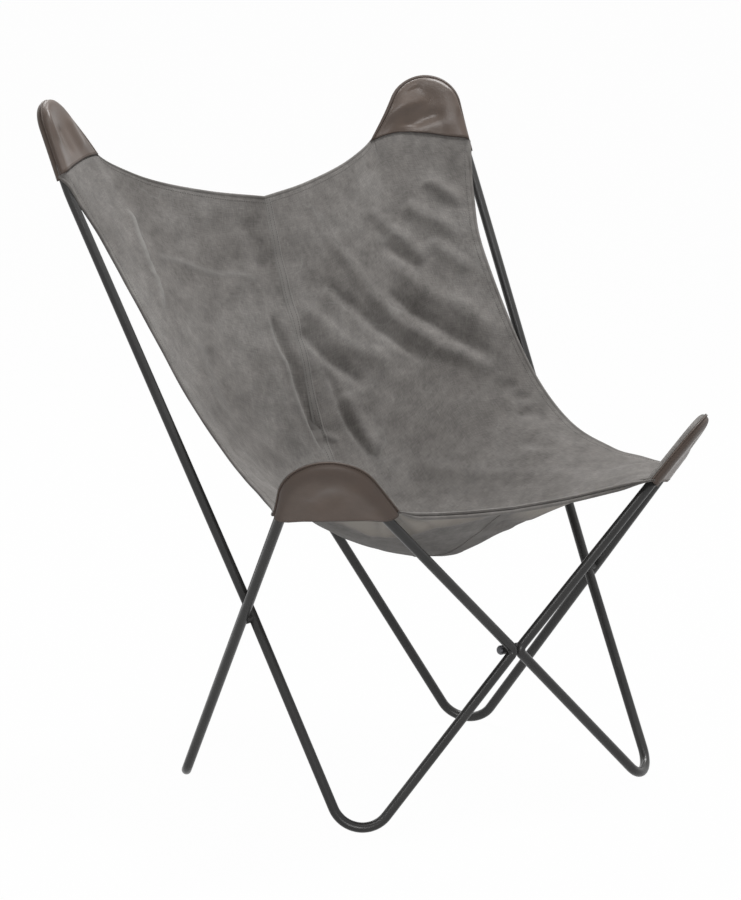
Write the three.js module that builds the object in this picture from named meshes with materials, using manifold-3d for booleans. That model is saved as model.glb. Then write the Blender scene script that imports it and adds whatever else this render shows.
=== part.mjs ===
// Butterfly sling chair: two bent-rod half frames bolted side by side, with a canvas sling
// that hangs from four horns in leather pockets.
// Millimetres, +Z up, the sitter faces -Y. The left half is drawn and the right half mirrors it.
import * as THREE from 'three';
import { mergeVertices } from 'three/addons/utils/BufferGeometryUtils.js';
import Module from 'manifold-3d';

const wasm = await Module();
wasm.setup();

const vec = (x, y, z) => new THREE.Vector3(x, y, z);

// Frame rods. Each horn and foot is the point where the lines of its two legs would meet.
// The back legs aim at one point, and lean from their shoulders to a horn a little in front of it.
const ROD_DIAMETER = 12.7;
const HORN_FRONT = vec(-333, -223, 503);
const HORN_BACK = vec(-334.5, 402, 931);
const BACK_LEGS_AIM = vec(-352, 440, 971);
const SHOULDER_DROP = 262;
const SHOULDER_RADIUS = 400;
const FOOT_FRONT = { x: -246, y: -194 };
const FOOT_REAR = { x: -240.5, y: 194 };
const JOINT_FRONT = { y: -204, z: 200.5 };
const JOINT_BACK = { y: 257, z: 355 };
const HORN_FRONT_RADIUS = 45;
const HORN_BACK_RADIUS = 36;
const FOOT_RADIUS = 38;
const CORNER_RADIUS = 8;
const CROSSING_RADIUS = 600;
const TOUCH_GAP = 0.3;
const CROSSING_GAP = 4.5;

// Bolted joints between the halves.
const SLEEVE_DIAMETER = 12;
const SLEEVE_LENGTH = 14;
const BOLT_DIAMETER = 6;
const BOLT_HEAD_DIAMETER = 11;
const BOLT_HEAD_HEIGHT = 3.4;
const WASHER_DIAMETER = 12;
const WASHER_THICKNESS = 1.2;
const NUT_ACROSS_FLATS = 10;
const NUT_THICKNESS = 5;
const BOLT_END = 1.5;
const RUNNING_GAP = 0.2;
const WELD_DIAMETER = 11;

// Sling.
const CANVAS_THICKNESS = 1.8;
const LEATHER_THICKNESS = 2;
const SEAM_STRIP_WIDTH = 18;
const SEAM_STRIP_THICKNESS = 1.2;
const SEAM_GAP = 0.4;
const BACK_POCKET = {
  outerLeg: 190, innerLeg: 190, outerMargin: 3.5, innerMargin: 7, seamRise: 7, arch: 12,
};
const FRONT_POCKET = {
  outerLeg: 137, innerLeg: 157, outerMargin: 4, innerMargin: 13, seamRise: 0, arch: 0,
};
const MARGIN_GROWS = { from: 0.2, to: 0.7 };
const SIDE_EDGE = [
  vec(-308, 268, 708), vec(-290, 223, 638), vec(-274, 111, 506), vec(-271, 20, 435), vec(-283, -56, 406),
  vec(-298, -100, 398),
];
const TOP_EDGE = [vec(-160, 369, 753), vec(-80, 349, 733)];
const TOP_CENTRE = { y: 328, z: 722 };
const FRONT_EDGE = [vec(-160, -214, 393), vec(-80, -206, 385)];
const FRONT_CENTRE = { y: -196, z: 380 };
const CENTRE_LINE = [
  vec(0, 296, 638), vec(0, 254, 536), vec(0, 204, 412), vec(0, 146, 335),
  vec(0, 86, 299), vec(0, 20, 291), vec(0, -60, 305), vec(0, -130, 337),
];
const SAG_POWER = 1.7;
const HORN_SHARE = 0.36;
const BACK_FOLDS = { count: 3.2, slant: 0.9, height: 4, start: 0, full: 0.15, fade: 0.35, end: 0.65 };
const FRONT_FOLDS = { count: 4, slant: -0.6, height: 3, start: 0.65, full: 0.85, fade: 0.88, end: 1 };
const FLAT_BORDERS = { side: 0.3, middle: 0.25 };

// Facets.
const ROD_SIDES = 14;
const ROUND_SIDES = 20;
const BEND_STEP = THREE.MathUtils.degToRad(11);
const WRAP_STEPS = 4;
const DOME_STEPS = 3;
const PANEL_COLUMNS = 19;
const PANEL_ROWS = 29;
const HORN_COLUMNS = Math.round(HORN_SHARE * PANEL_COLUMNS);
const SETTLE_ROUNDS = 30;
const MERGE_DISTANCE = 1e-4;

const rodRadius = ROD_DIAMETER / 2;
const smooth = THREE.MathUtils.smoothstep;
const lerp = THREE.MathUtils.lerp;

const STEEL = new THREE.MeshStandardMaterial({ color: 0x3a3a3b, roughness: 0.5, metalness: 0.3 });
const ZINC = new THREE.MeshStandardMaterial({ color: 0x55565a, roughness: 0.4, metalness: 0.8 });
const CANVAS = new THREE.MeshStandardMaterial({ color: 0x74706b, roughness: 0.9, metalness: 0 });
const LEATHER = new THREE.MeshStandardMaterial({ color: 0x4a3a33, roughness: 0.35, metalness: 0 });

const chair = new THREE.Group();

function addPiece(name, geometry, material) {
  const mesh = new THREE.Mesh(geometry, material);
  mesh.name = name;
  chair.add(mesh);
  return mesh;
}

// The right-hand copy of a left-hand solid.
function mirrored(geometry) {
  const copy = mergeVertices(geometry.clone().applyMatrix4(new THREE.Matrix4().makeScale(-1, 1, 1)));
  const index = Array.from(copy.index.array);
  for (let i = 0; i < index.length; i += 3) {
    [index[i + 1], index[i + 2]] = [index[i + 2], index[i + 1]];
  }
  copy.setIndex(index);
  return copy;
}

function addPair(leftName, rightName, geometry, material) {
  addPiece(leftName, geometry, material);
  addPiece(rightName, mirrored(geometry), material);
}

// Keeps only the positions, with shared vertices merged.
function bare(geometry) {
  const copy = geometry.clone();
  copy.deleteAttribute('normal');
  copy.deleteAttribute('uv');
  return mergeVertices(copy, MERGE_DISTANCE);
}

function toManifold(geometry) {
  const mesh = bare(geometry);
  return new wasm.Manifold(new wasm.Mesh({
    numProp: 3,
    vertProperties: new Float32Array(mesh.attributes.position.array),
    triVerts: new Uint32Array(mesh.index.array),
  }));
}

function fromManifold(solid) {
  const mesh = solid.getMesh();
  const geometry = new THREE.BufferGeometry();
  geometry.setAttribute('position', new THREE.BufferAttribute(new Float32Array(mesh.vertProperties), 3));
  geometry.setIndex(new THREE.BufferAttribute(new Uint32Array(mesh.triVerts), 1));
  return geometry;
}

// Rod centre lines

// Stations on the arc that rounds a corner, between two shares of its sweep.
function bend(corner, before, after, radius, from = 0, to = 1) {
  const a = before.clone().sub(corner).normalize();
  const b = after.clone().sub(corner).normalize();
  const half = a.angleTo(b) / 2;
  const inward = a.clone().add(b).normalize();
  const side = a.clone().addScaledVector(inward, -a.dot(inward)).normalize();
  const centre = corner.clone().addScaledVector(inward, radius / Math.sin(half));
  const sweep = Math.PI - 2 * half;
  const steps = Math.max(1, Math.ceil((sweep * (to - from)) / BEND_STEP));
  const stations = [];
  for (let i = 0; i <= steps; i += 1) {
    const angle = sweep * (0.5 - lerp(from, to, i / steps));
    const point = centre.clone()
      .addScaledVector(inward, -radius * Math.cos(angle))
      .addScaledVector(side, radius * Math.sin(angle));
    const tangent = inward.clone().multiplyScalar(-Math.sin(angle)).addScaledVector(side, -Math.cos(angle));
    stations.push({ point, tangent });
  }
  return stations;
}

const arcLowest = (stations) => Math.min(...stations.map((s) => s.point.z));

// Sets a foot at the height where its bend just rests on the floor.
function footOnFloor(plan, legA, legB) {
  const foot = vec(plan.x, plan.y, 0);
  for (let i = 0; i < SETTLE_ROUNDS; i += 1) {
    foot.z += rodRadius - arcLowest(bend(foot, legA, legB, FOOT_RADIUS));
  }
  return foot;
}

// The corner of a half frame stands so that its outside just clears the other half.
function cornerAtMiddle(joint, legA, legB) {
  const corner = vec(-rodRadius, joint.y, joint.z);
  for (let i = 0; i < SETTLE_ROUNDS; i += 1) {
    const arc = bend(corner, legA, legB, CORNER_RADIUS);
    const reach = Math.max(...arc.map((s) => s.point.x));
    corner.x -= reach + rodRadius + TOUCH_GAP / 2;
  }
  return corner;
}

// Point and direction where the back rod passes just inside the seat rod.
function crossingPoint(seatA, seatB, backA, backB) {
  const seat = seatB.clone().sub(seatA).normalize();
  const back = backB.clone().sub(backA).normalize();
  const across = seat.clone().cross(back).normalize();
  if (across.x < 0) {
    across.negate();
  }
  const gap = backA.clone().sub(seatA);
  const along = seat.dot(back);
  const run = (gap.dot(seat) - gap.dot(back) * along) / (1 - along * along);
  const onSeat = seatA.clone().addScaledVector(seat, run);
  return { onSeat, seat, back, across };
}

const roughJoint = (joint) => vec(-rodRadius, joint.y, joint.z);
const footFront = footOnFloor(FOOT_FRONT, BACK_LEGS_AIM, roughJoint(JOINT_FRONT));
const footRear = footOnFloor(FOOT_REAR, HORN_FRONT, roughJoint(JOINT_BACK));
const cornerFront = cornerAtMiddle(JOINT_FRONT, HORN_FRONT, footFront);
const cornerBack = cornerAtMiddle(JOINT_BACK, BACK_LEGS_AIM, footRear);
const crossing = crossingPoint(HORN_FRONT, footRear, BACK_LEGS_AIM, footFront);
const crossingKnee = crossing.onSeat.clone().addScaledVector(crossing.across, ROD_DIAMETER + CROSSING_GAP);
const shoulder = (legEnd) => BACK_LEGS_AIM.clone()
  .addScaledVector(legEnd.clone().sub(BACK_LEGS_AIM).normalize(), SHOULDER_DROP);
const shoulderInner = shoulder(cornerBack);
const shoulderOuter = shoulder(crossingKnee);

// A path that a section follows from station to station.
class StationPath extends THREE.Curve {
  constructor(stations) {
    super();
    this.stations = stations;
  }

  station(t) {
    return this.stations[Math.round(t * (this.stations.length - 1))];
  }

  getPoint(t, target = vec()) {
    return target.copy(this.station(t).point);
  }

  getPointAt(t, target) {
    return this.getPoint(t, target);
  }

  getTangentAt(t, target = vec()) {
    return target.copy(this.station(t).tangent);
  }
}

function circleShape(radius, sides) {
  const points = [];
  for (let i = 0; i < sides; i += 1) {
    const angle = (2 * Math.PI * i) / sides;
    points.push(new THREE.Vector2(radius * Math.cos(angle), radius * Math.sin(angle)));
  }
  return new THREE.Shape(points);
}

function sweepRod(stations, radius) {
  return bare(new THREE.ExtrudeGeometry(circleShape(radius, ROD_SIDES), {
    steps: stations.length - 1,
    extrudePath: new StationPath(stations),
    bevelEnabled: false,
  }));
}

// The butt weld at each corner of a half frame sits in the middle of the corner's bend.
function cornerShare(corner, legA, legB) {
  const a = legA.clone().sub(corner);
  const b = legB.clone().sub(corner);
  const sweep = Math.PI - a.angleTo(b);
  return TOUCH_GAP / 2 / (CORNER_RADIUS * sweep);
}

const frontShare = cornerShare(cornerFront, HORN_FRONT, footFront);
const backShare = cornerShare(cornerBack, shoulderInner, footRear);
const seatHorn = bend(HORN_FRONT, cornerFront, footRear, HORN_FRONT_RADIUS);
const backHorn = bend(HORN_BACK, shoulderInner, shoulderOuter, HORN_BACK_RADIUS);
const seatStations = [
  ...bend(cornerFront, footFront, HORN_FRONT, CORNER_RADIUS, 0.5 + frontShare, 1),
  ...seatHorn,
  ...bend(footRear, HORN_FRONT, cornerBack, FOOT_RADIUS),
  ...bend(cornerBack, footRear, shoulderInner, CORNER_RADIUS, 0, 0.5 - backShare),
];
const backStations = [
  ...bend(cornerBack, footRear, shoulderInner, CORNER_RADIUS, 0.5 + backShare, 1),
  ...bend(shoulderInner, cornerBack, HORN_BACK, SHOULDER_RADIUS),
  ...backHorn,
  ...bend(shoulderOuter, HORN_BACK, crossingKnee, SHOULDER_RADIUS),
  ...bend(crossingKnee, shoulderOuter, footFront, CROSSING_RADIUS),
  ...bend(footFront, crossingKnee, cornerFront, FOOT_RADIUS),
  ...bend(cornerFront, footFront, HORN_FRONT, CORNER_RADIUS, 0, 0.5 - frontShare),
];

function buildRods() {
  addPair('left_seat_rod', 'right_seat_rod', sweepRod(seatStations, rodRadius), STEEL);
  addPair('left_back_rod', 'right_back_rod', sweepRod(backStations, rodRadius), STEEL);
}

// A round plug of weld joins the two rods where they cross.
function buildCrossingWelds() {
  const reach = ROD_DIAMETER + CROSSING_GAP;
  const plug = new THREE.CylinderGeometry(WELD_DIAMETER / 2, WELD_DIAMETER / 2, reach, ROUND_SIDES);
  const turn = new THREE.Quaternion().setFromUnitVectors(vec(0, 1, 0), crossing.across);
  plug.applyQuaternion(turn);
  const middle = crossing.onSeat.clone().addScaledVector(crossing.across, reach / 2);
  plug.translate(middle.x, middle.y, middle.z);
  let solid = toManifold(plug);
  for (const stations of [seatStations, backStations]) {
    solid = solid.subtract(toManifold(sweepRod(stations, rodRadius + TOUCH_GAP)));
  }
  addPair('left_crossing_weld', 'right_crossing_weld', fromManifold(solid), STEEL);
}

// Bolted joints

// A round piece whose closed profile of (radius, distance) pairs turns about an X axis.
function turned(profile) {
  const points = profile.map(([r, x]) => new THREE.Vector2(r, x));
  const geometry = new THREE.LatheGeometry(points, ROUND_SIDES);
  geometry.rotateZ(-Math.PI / 2);
  return bare(geometry);
}

function ring(inner, outer, start, length) {
  const end = start + length;
  return turned([[inner, start], [outer, start], [outer, end], [inner, end], [inner, start]]);
}

function hexNut(start) {
  const corner = NUT_ACROSS_FLATS / Math.sqrt(3);
  const shape = circleShape(corner, 6);
  shape.holes.push(circleShape(BOLT_DIAMETER / 2 + RUNNING_GAP, ROUND_SIDES));
  const geometry = new THREE.ExtrudeGeometry(shape, { depth: NUT_THICKNESS, bevelEnabled: false });
  geometry.rotateY(Math.PI / 2);
  geometry.translate(start, 0, 0);
  return bare(geometry);
}

function buildJoint(prefix, corner, towardsMiddle) {
  const gap = TOUCH_GAP;
  const hole = BOLT_DIAMETER / 2 + RUNNING_GAP;
  const sleeveStart = gap / 2;
  const washerStart = sleeveStart + SLEEVE_LENGTH + gap;
  const headStart = washerStart + WASHER_THICKNESS + gap;
  const shankEnd = headStart + NUT_THICKNESS + BOLT_END;
  const shank = BOLT_DIAMETER / 2;
  const dome = [];
  for (let i = 0; i <= DOME_STEPS; i += 1) {
    const angle = (Math.PI / 2) * (i / DOME_STEPS);
    const out = (BOLT_HEAD_DIAMETER / 2) * Math.sin(angle);
    dome.push([out, -headStart - BOLT_HEAD_HEIGHT * Math.cos(angle)]);
  }
  const sleeve = (start) => ring(hole, SLEEVE_DIAMETER / 2, start, SLEEVE_LENGTH);
  const washer = (start) => ring(hole, WASHER_DIAMETER / 2, start, WASHER_THICKNESS);
  const pieces = [
    [`${prefix}_right_sleeve`, sleeve(sleeveStart), STEEL],
    [`${prefix}_left_sleeve`, sleeve(-sleeveStart - SLEEVE_LENGTH), STEEL],
    [`${prefix}_nut_washer`, washer(washerStart), ZINC],
    [`${prefix}_head_washer`, washer(-washerStart - WASHER_THICKNESS), ZINC],
    [`${prefix}_nut`, hexNut(headStart), ZINC],
    [`${prefix}_bolt`, turned([...dome, [shank, -headStart], [shank, shankEnd], [0, shankEnd]]), ZINC],
  ];
  const reach = rodRadius + gap + SLEEVE_DIAMETER / 2;
  for (const [name, geometry, material] of pieces) {
    addPiece(name, geometry, material).position.set(0, corner.y + towardsMiddle * reach, corner.z);
  }
}

// Sling

// A closed thin solid from a triangulated sheet of points, half its thickness to each side.
// The points listed in middle lie along the chair's mid-plane, and stay level with it.
function thicken(points, triangles, thickness, middle = []) {
  const normals = points.map(() => vec());
  const ab = vec();
  const ac = vec();
  for (const [a, b, c] of triangles) {
    ab.subVectors(points[b], points[a]);
    ac.subVectors(points[c], points[a]);
    const normal = ab.clone().cross(ac);
    normals[a].add(normal);
    normals[b].add(normal);
    normals[c].add(normal);
  }
  middle.forEach((i) => normals[i].setX(0));
  const positions = [];
  for (const side of [0.5, -0.5]) {
    points.forEach((p, i) => {
      const q = p.clone().addScaledVector(normals[i].normalize(), side * thickness);
      positions.push(q.x, q.y, q.z);
    });
  }
  const count = points.length;
  const index = [];
  const open = new Map();
  for (const [a, b, c] of triangles) {
    index.push(a, b, c, count + a, count + c, count + b);
    for (const [p, q] of [[a, b], [b, c], [c, a]]) {
      if (!open.delete(`${q},${p}`)) {
        open.set(`${p},${q}`, [p, q]);
      }
    }
  }
  for (const [p, q] of open.values()) {
    index.push(count + p, count + q, q, count + p, q, p);
  }
  const geometry = new THREE.BufferGeometry();
  geometry.setAttribute('position', new THREE.Float32BufferAttribute(positions, 3));
  geometry.setIndex(index);
  return geometry;
}

// The stretch of a rod that a pocket covers, from the mouth on one leg to the mouth on the other.
function hornStretch(corner, bendStations, firstLeg, lastLeg) {
  const first = bendStations[0];
  const last = bendStations[bendStations.length - 1];
  const towards = (leg, station, sign) => ({
    point: corner.clone().addScaledVector(station.tangent, sign * leg),
    tangent: station.tangent.clone(),
  });
  return [towards(firstLeg, first, -1), ...bendStations, towards(lastLeg, last, 1)];
}

// A horn's plane, its stretch of rod, and points set out from the rod in that plane.
class Horn {
  constructor(corner, bendStations, pocket, outerLegFirst) {
    const legs = outerLegFirst ? [pocket.outerLeg, pocket.innerLeg] : [pocket.innerLeg, pocket.outerLeg];
    const stretch = hornStretch(corner, bendStations, legs[0], legs[1]);
    this.stations = outerLegFirst ? stretch : stretch.reverse();
    this.pocket = pocket;
    const first = this.stations[0].point;
    const last = this.stations[this.stations.length - 1].point;
    this.sitter = first.clone().sub(corner).cross(last.clone().sub(corner)).normalize();
    if (this.sitter.dot(vec(0, 0, HORN_FRONT.z).sub(corner)) < 0) {
      this.sitter.negate();
    }
    const middle = first.clone().add(last).multiplyScalar(0.5);
    this.across = last.clone().sub(first).normalize();
    this.up = corner.clone().sub(middle);
    this.up.addScaledVector(this.across, -this.up.dot(this.across)).normalize();
    let run = 0;
    this.shares = this.stations.map((s, i) => {
      run += i ? s.point.distanceTo(this.stations[i - 1].point) : 0;
      return run;
    }).map((d, i, all) => d / all[all.length - 1]);
  }

  // A point beside station i: outward from the rod in the horn's plane, and towards the sitter.
  beside(i, outward, height) {
    const station = this.stations[i];
    const away = station.tangent.clone().cross(this.sitter).normalize();
    const centre = this.stations[0].point.clone().add(this.stations[this.stations.length - 1].point);
    if (away.dot(station.point.clone().sub(centre.multiplyScalar(0.5))) < 0) {
      away.negate();
    }
    return station.point.clone().addScaledVector(away, outward).addScaledVector(this.sitter, height);
  }

  margin(i) {
    const growth = smooth(this.shares[i], MARGIN_GROWS.from, MARGIN_GROWS.to);
    return rodRadius + lerp(this.pocket.outerMargin, this.pocket.innerMargin, growth);
  }

  // The pocket's edge, with both ends drawn up the legs to the seam between leather and canvas.
  outline(height, lift = 0) {
    const edge = this.stations.map((_, i) => this.beside(i, this.margin(i), height));
    const last = edge.length - 1;
    const rise = this.pocket.seamRise + lift;
    edge[0].addScaledVector(edge[1].clone().sub(edge[0]).normalize(), rise);
    edge[last].addScaledVector(edge[last - 1].clone().sub(edge[last]).normalize(), rise);
    return edge;
  }

  // Points on the seam line, which may arch up towards the tip.
  seam(height, count, lift = 0) {
    const edge = this.outline(height, lift);
    const from = edge[0];
    const to = edge[edge.length - 1];
    const points = [];
    for (let i = 0; i <= count; i += 1) {
      const share = i / count;
      const rise = 4 * share * (1 - share) * this.pocket.arch;
      points.push(from.clone().lerp(to, share).addScaledVector(this.up, rise));
    }
    return points;
  }

  // Triangulates a loop of points that lie in a plane parallel to the horn's.
  triangulate(loop) {
    const flat = loop.map((p) => new THREE.Vector2(p.dot(this.across), p.dot(this.up)));
    const faces = THREE.ShapeUtils.triangulateShape(flat, []);
    const [a, b, c] = faces[0].map((i) => loop[i]);
    const faceSitter = b.clone().sub(a).cross(c.clone().sub(a)).dot(this.sitter) > 0;
    return faceSitter ? faces : faces.map(([i, j, k]) => [i, k, j]);
  }
}

const canvasHeight = rodRadius + TOUCH_GAP + CANVAS_THICKNESS / 2;
const horns = {
  back: new Horn(HORN_BACK, backHorn, BACK_POCKET, false),
  front: new Horn(HORN_FRONT, seatHorn, FRONT_POCKET, false),
};

const throughPoints = (points) => new THREE.CatmullRomCurve3(points, false, 'catmullrom', 0.5);

// One end of the sling, from the outer leg along the horn's seam line and on to the middle.
function endCurve(horn, edgePoints, centre) {
  const seam = horn.seam(canvasHeight, HORN_COLUMNS);
  const edge = throughPoints([seam[HORN_COLUMNS], ...edgePoints, vec(0, centre.y, centre.z)]);
  return (column) => (column <= HORN_COLUMNS
    ? seam[column].clone()
    : edge.getPointAt((column - HORN_COLUMNS) / (PANEL_COLUMNS - HORN_COLUMNS)));
}

const backEnd = endCurve(horns.back, TOP_EDGE, TOP_CENTRE);
const frontEnd = endCurve(horns.front, FRONT_EDGE, FRONT_CENTRE);
const sideCurve = throughPoints([backEnd(0), ...SIDE_EDGE, frontEnd(0)]);
const centreCurve = throughPoints([backEnd(PANEL_COLUMNS), ...CENTRE_LINE, frontEnd(PANEL_COLUMNS)]);

// Section across the sling: straight in plan, sagging from the side edge to the middle.
function section(share, t) {
  const side = sideCurve.getPointAt(t);
  const centre = centreCurve.getPointAt(t);
  const sag = 1 - (1 - share) ** SAG_POWER;
  return vec(side.x * (1 - share), lerp(side.y, centre.y, sag), lerp(side.z, centre.z, sag));
}

// Soft folds that run down from the back horns and back from the front horns.
function foldHeight(share, t) {
  const inside = smooth(share, 0, FLAT_BORDERS.side) * smooth(1 - share, 0, FLAT_BORDERS.middle);
  const wave = (folds) => {
    const reach = smooth(t, folds.start, folds.full) * (1 - smooth(t, folds.fade, folds.end));
    return folds.height * reach * Math.sin(2 * Math.PI * folds.count * (share + folds.slant * t));
  };
  return inside * (wave(BACK_FOLDS) + wave(FRONT_FOLDS));
}

// The left half of the sling as rows of points from the back end to the front end.
function slingRows() {
  const rows = [];
  for (let i = 0; i <= PANEL_ROWS; i += 1) {
    const t = i / PANEL_ROWS;
    const row = [];
    for (let j = 0; j <= PANEL_COLUMNS; j += 1) {
      const share = j / PANEL_COLUMNS;
      const point = section(share, t);
      point.addScaledVector(backEnd(j).sub(section(share, 0)), (1 - t) ** 3);
      point.addScaledVector(frontEnd(j).sub(section(share, 1)), t ** 3);
      row.push(point);
    }
    rows.push(row);
  }
  return rows;
}

// Moves the inner points of the rows along the sheet's normal by the height of the folds.
function foldRows(rows) {
  return rows.map((row, i) => row.map((point, j) => {
    if (i === 0 || i === PANEL_ROWS || j === 0 || j === PANEL_COLUMNS) {
      return point;
    }
    const along = rows[i + 1][j].clone().sub(rows[i - 1][j]);
    const acrossRow = row[j + 1].clone().sub(row[j - 1]);
    const normal = along.cross(acrossRow).normalize();
    return point.clone().addScaledVector(normal, foldHeight(j / PANEL_COLUMNS, i / PANEL_ROWS));
  }));
}

function gridTriangles(rowCount, columnCount) {
  const triangles = [];
  const at = (i, j) => i * columnCount + j;
  for (let i = 0; i + 1 < rowCount; i += 1) {
    for (let j = 0; j + 1 < columnCount; j += 1) {
      triangles.push([at(i, j), at(i + 1, j), at(i + 1, j + 1)]);
      triangles.push([at(i, j), at(i + 1, j + 1), at(i, j + 1)]);
    }
  }
  return triangles;
}

// A canvas panel is half the sling, with the canvas tip that lines the front pocket.
function buildPanels(rows) {
  const points = rows.flat().map((p) => p.clone());
  const middle = rows.map((_, i) => i * (PANEL_COLUMNS + 1) + PANEL_COLUMNS);
  middle.forEach((i) => points[i].setX(-SEAM_GAP / 2));
  const triangles = gridTriangles(PANEL_ROWS + 1, PANEL_COLUMNS + 1);
  const frontRow = PANEL_ROWS * (PANEL_COLUMNS + 1);
  const outline = horns.front.outline(canvasHeight).slice(1, -1);
  const loop = [];
  for (let j = 0; j <= HORN_COLUMNS; j += 1) {
    loop.push(frontRow + j);
  }
  outline.reverse().forEach((p) => {
    loop.push(points.length);
    points.push(p);
  });
  const faces = horns.front.triangulate(loop.map((i) => points[i]));
  triangles.push(...faces.map((face) => face.map((i) => loop[i])));
  const solid = thicken(points, triangles, CANVAS_THICKNESS, middle);
  addPair('left_canvas_panel', 'right_canvas_panel', solid, CANVAS);
}

// The folded seam allowance under the middle of the sling.
function buildSeamStrip(rows) {
  const drop = CANVAS_THICKNESS / 2 + TOUCH_GAP + SEAM_STRIP_THICKNESS / 2;
  const points = [];
  rows.forEach((row, i) => {
    const centre = row[PANEL_COLUMNS];
    const before = rows[Math.max(0, i - 1)][PANEL_COLUMNS];
    const after = rows[Math.min(PANEL_ROWS, i + 1)][PANEL_COLUMNS];
    const under = after.clone().sub(before).cross(vec(1, 0, 0)).normalize().negate();
    const slope = row[PANEL_COLUMNS - 1].clone().sub(centre);
    const half = SEAM_STRIP_WIDTH / 2;
    const flank = centre.clone().addScaledVector(slope, half / Math.abs(slope.x));
    for (const [side, base] of [[-1, flank], [0, centre], [1, flank]]) {
      points.push(vec(side * half, base.y, base.z).addScaledVector(under, drop));
    }
  });
  const triangles = gridTriangles(rows.length, 3);
  addPiece('centre_seam_strip', thicken(points, triangles, SEAM_STRIP_THICKNESS), CANVAS);
}

// The leather tip on the sitter's side of a back horn, sewn to the canvas at the seam line.
function buildBackTips() {
  const horn = horns.back;
  const seam = horn.seam(canvasHeight, HORN_COLUMNS, TOUCH_GAP).slice(1, -1);
  const loop = [...horn.outline(canvasHeight, TOUCH_GAP), ...seam.reverse()];
  const solid = thicken(loop, horn.triangulate(loop), LEATHER_THICKNESS);
  addPair('back_left_tip', 'back_right_tip', solid, LEATHER);
}

// The leather pocket on the far side of a horn: a flange under the sling, a wrap round the rod
// and a flat back.
function buildPocket(leftName, rightName, horn) {
  const wrap = rodRadius + TOUCH_GAP + LEATHER_THICKNESS / 2;
  const flange = rodRadius - LEATHER_THICKNESS / 2 - TOUCH_GAP;
  const count = horn.stations.length;
  const profile = (i) => {
    const rows = [[horn.margin(i), flange], [wrap, flange]];
    for (let k = 0; k <= WRAP_STEPS; k += 1) {
      const angle = (Math.PI / 2) * (k / WRAP_STEPS);
      rows.push([wrap * Math.cos(angle), -wrap * Math.sin(angle)]);
    }
    return rows;
  };
  const points = [];
  for (let i = 0; i < count; i += 1) {
    profile(i).forEach(([outward, height]) => points.push(horn.beside(i, outward, height)));
  }
  const rowLength = WRAP_STEPS + 3;
  const grid = gridTriangles(count, rowLength);
  const back = [];
  for (let i = 0; i < count; i += 1) {
    back.push(i * rowLength + rowLength - 1);
  }
  const plate = horn.triangulate(back.map((i) => points[i])).map((face) => face.map((i) => back[i]));
  const triangles = [...(gridFacesSitter(points, grid, horn) ? grid : flipped(grid)), ...plate];
  addPair(leftName, rightName, thicken(points, triangles, LEATHER_THICKNESS), LEATHER);
}

const flipped = (triangles) => triangles.map(([a, b, c]) => [a, c, b]);

// True where the last strip of a pocket's wrap, which turns into its back, faces the sitter.
function gridFacesSitter(points, triangles, horn) {
  const columns = WRAP_STEPS + 2;
  const [a, b, c] = triangles[2 * columns - 1].map((i) => points[i]);
  return b.clone().sub(a).cross(c.clone().sub(a)).dot(horn.sitter) > 0;
}

buildRods();
buildCrossingWelds();
buildJoint('front', cornerFront, 1);
buildJoint('back', cornerBack, -1);
const rows = foldRows(slingRows());
buildPanels(rows);
buildSeamStrip(rows);
buildBackTips();
buildPocket('back_left_pocket', 'back_right_pocket', horns.back);
buildPocket('front_left_pocket', 'front_right_pocket', horns.front);

// The origin is on the floor under the middle of the chair's outline.
const box = new THREE.Box3().setFromObject(chair, true);
chair.position.set(0, -(box.min.y + box.max.y) / 2, -box.min.z);
chair.updateMatrixWorld(true);

export default chair;
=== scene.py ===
"""Butterfly sling chair: the looks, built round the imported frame."""
import math

import bpy
import numpy as np
from mathutils import Matrix, Vector
from mathutils.kdtree import KDTree


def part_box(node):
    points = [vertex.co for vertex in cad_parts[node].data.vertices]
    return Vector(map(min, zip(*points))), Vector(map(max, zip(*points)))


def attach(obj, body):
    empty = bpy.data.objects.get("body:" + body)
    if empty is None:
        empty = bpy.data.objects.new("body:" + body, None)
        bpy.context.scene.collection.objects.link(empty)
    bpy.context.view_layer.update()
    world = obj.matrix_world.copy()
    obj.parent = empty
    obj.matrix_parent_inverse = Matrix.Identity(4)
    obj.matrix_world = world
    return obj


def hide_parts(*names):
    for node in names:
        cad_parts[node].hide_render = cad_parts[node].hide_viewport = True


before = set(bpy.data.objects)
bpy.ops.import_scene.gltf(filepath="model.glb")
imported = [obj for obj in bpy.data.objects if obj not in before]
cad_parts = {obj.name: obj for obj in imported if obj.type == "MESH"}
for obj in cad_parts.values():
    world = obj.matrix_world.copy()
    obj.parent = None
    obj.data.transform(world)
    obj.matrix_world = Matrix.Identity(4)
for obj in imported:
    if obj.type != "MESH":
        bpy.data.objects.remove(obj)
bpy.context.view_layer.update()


def vec(x, y, z):
    return np.array([x, y, z], float)


# Sizes of the frame and the sling in millimetres, as in the part's source.
# Left half; -Y is the way the sitter faces.
ROD_RADIUS = 6.35
HORN_FRONT = vec(-333, -223, 503)
HORN_BACK = vec(-334.5, 402, 931)
BACK_LEGS_AIM = vec(-352, 440, 971)
SHOULDER_DROP = 262
SHOULDER_RADIUS = 400
FOOT_FRONT = (-246, -194)
FOOT_REAR = (-240.5, 194)
JOINT_FRONT = (-204, 200.5)
JOINT_BACK = (257, 355)
HORN_FRONT_RADIUS = 45
HORN_BACK_RADIUS = 36
FOOT_RADIUS = 38
CORNER_RADIUS = 8
CROSSING_RADIUS = 600
TOUCH_GAP = 0.3
CROSSING_GAP = 4.5
SLEEVE_DIAMETER = 12

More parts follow.
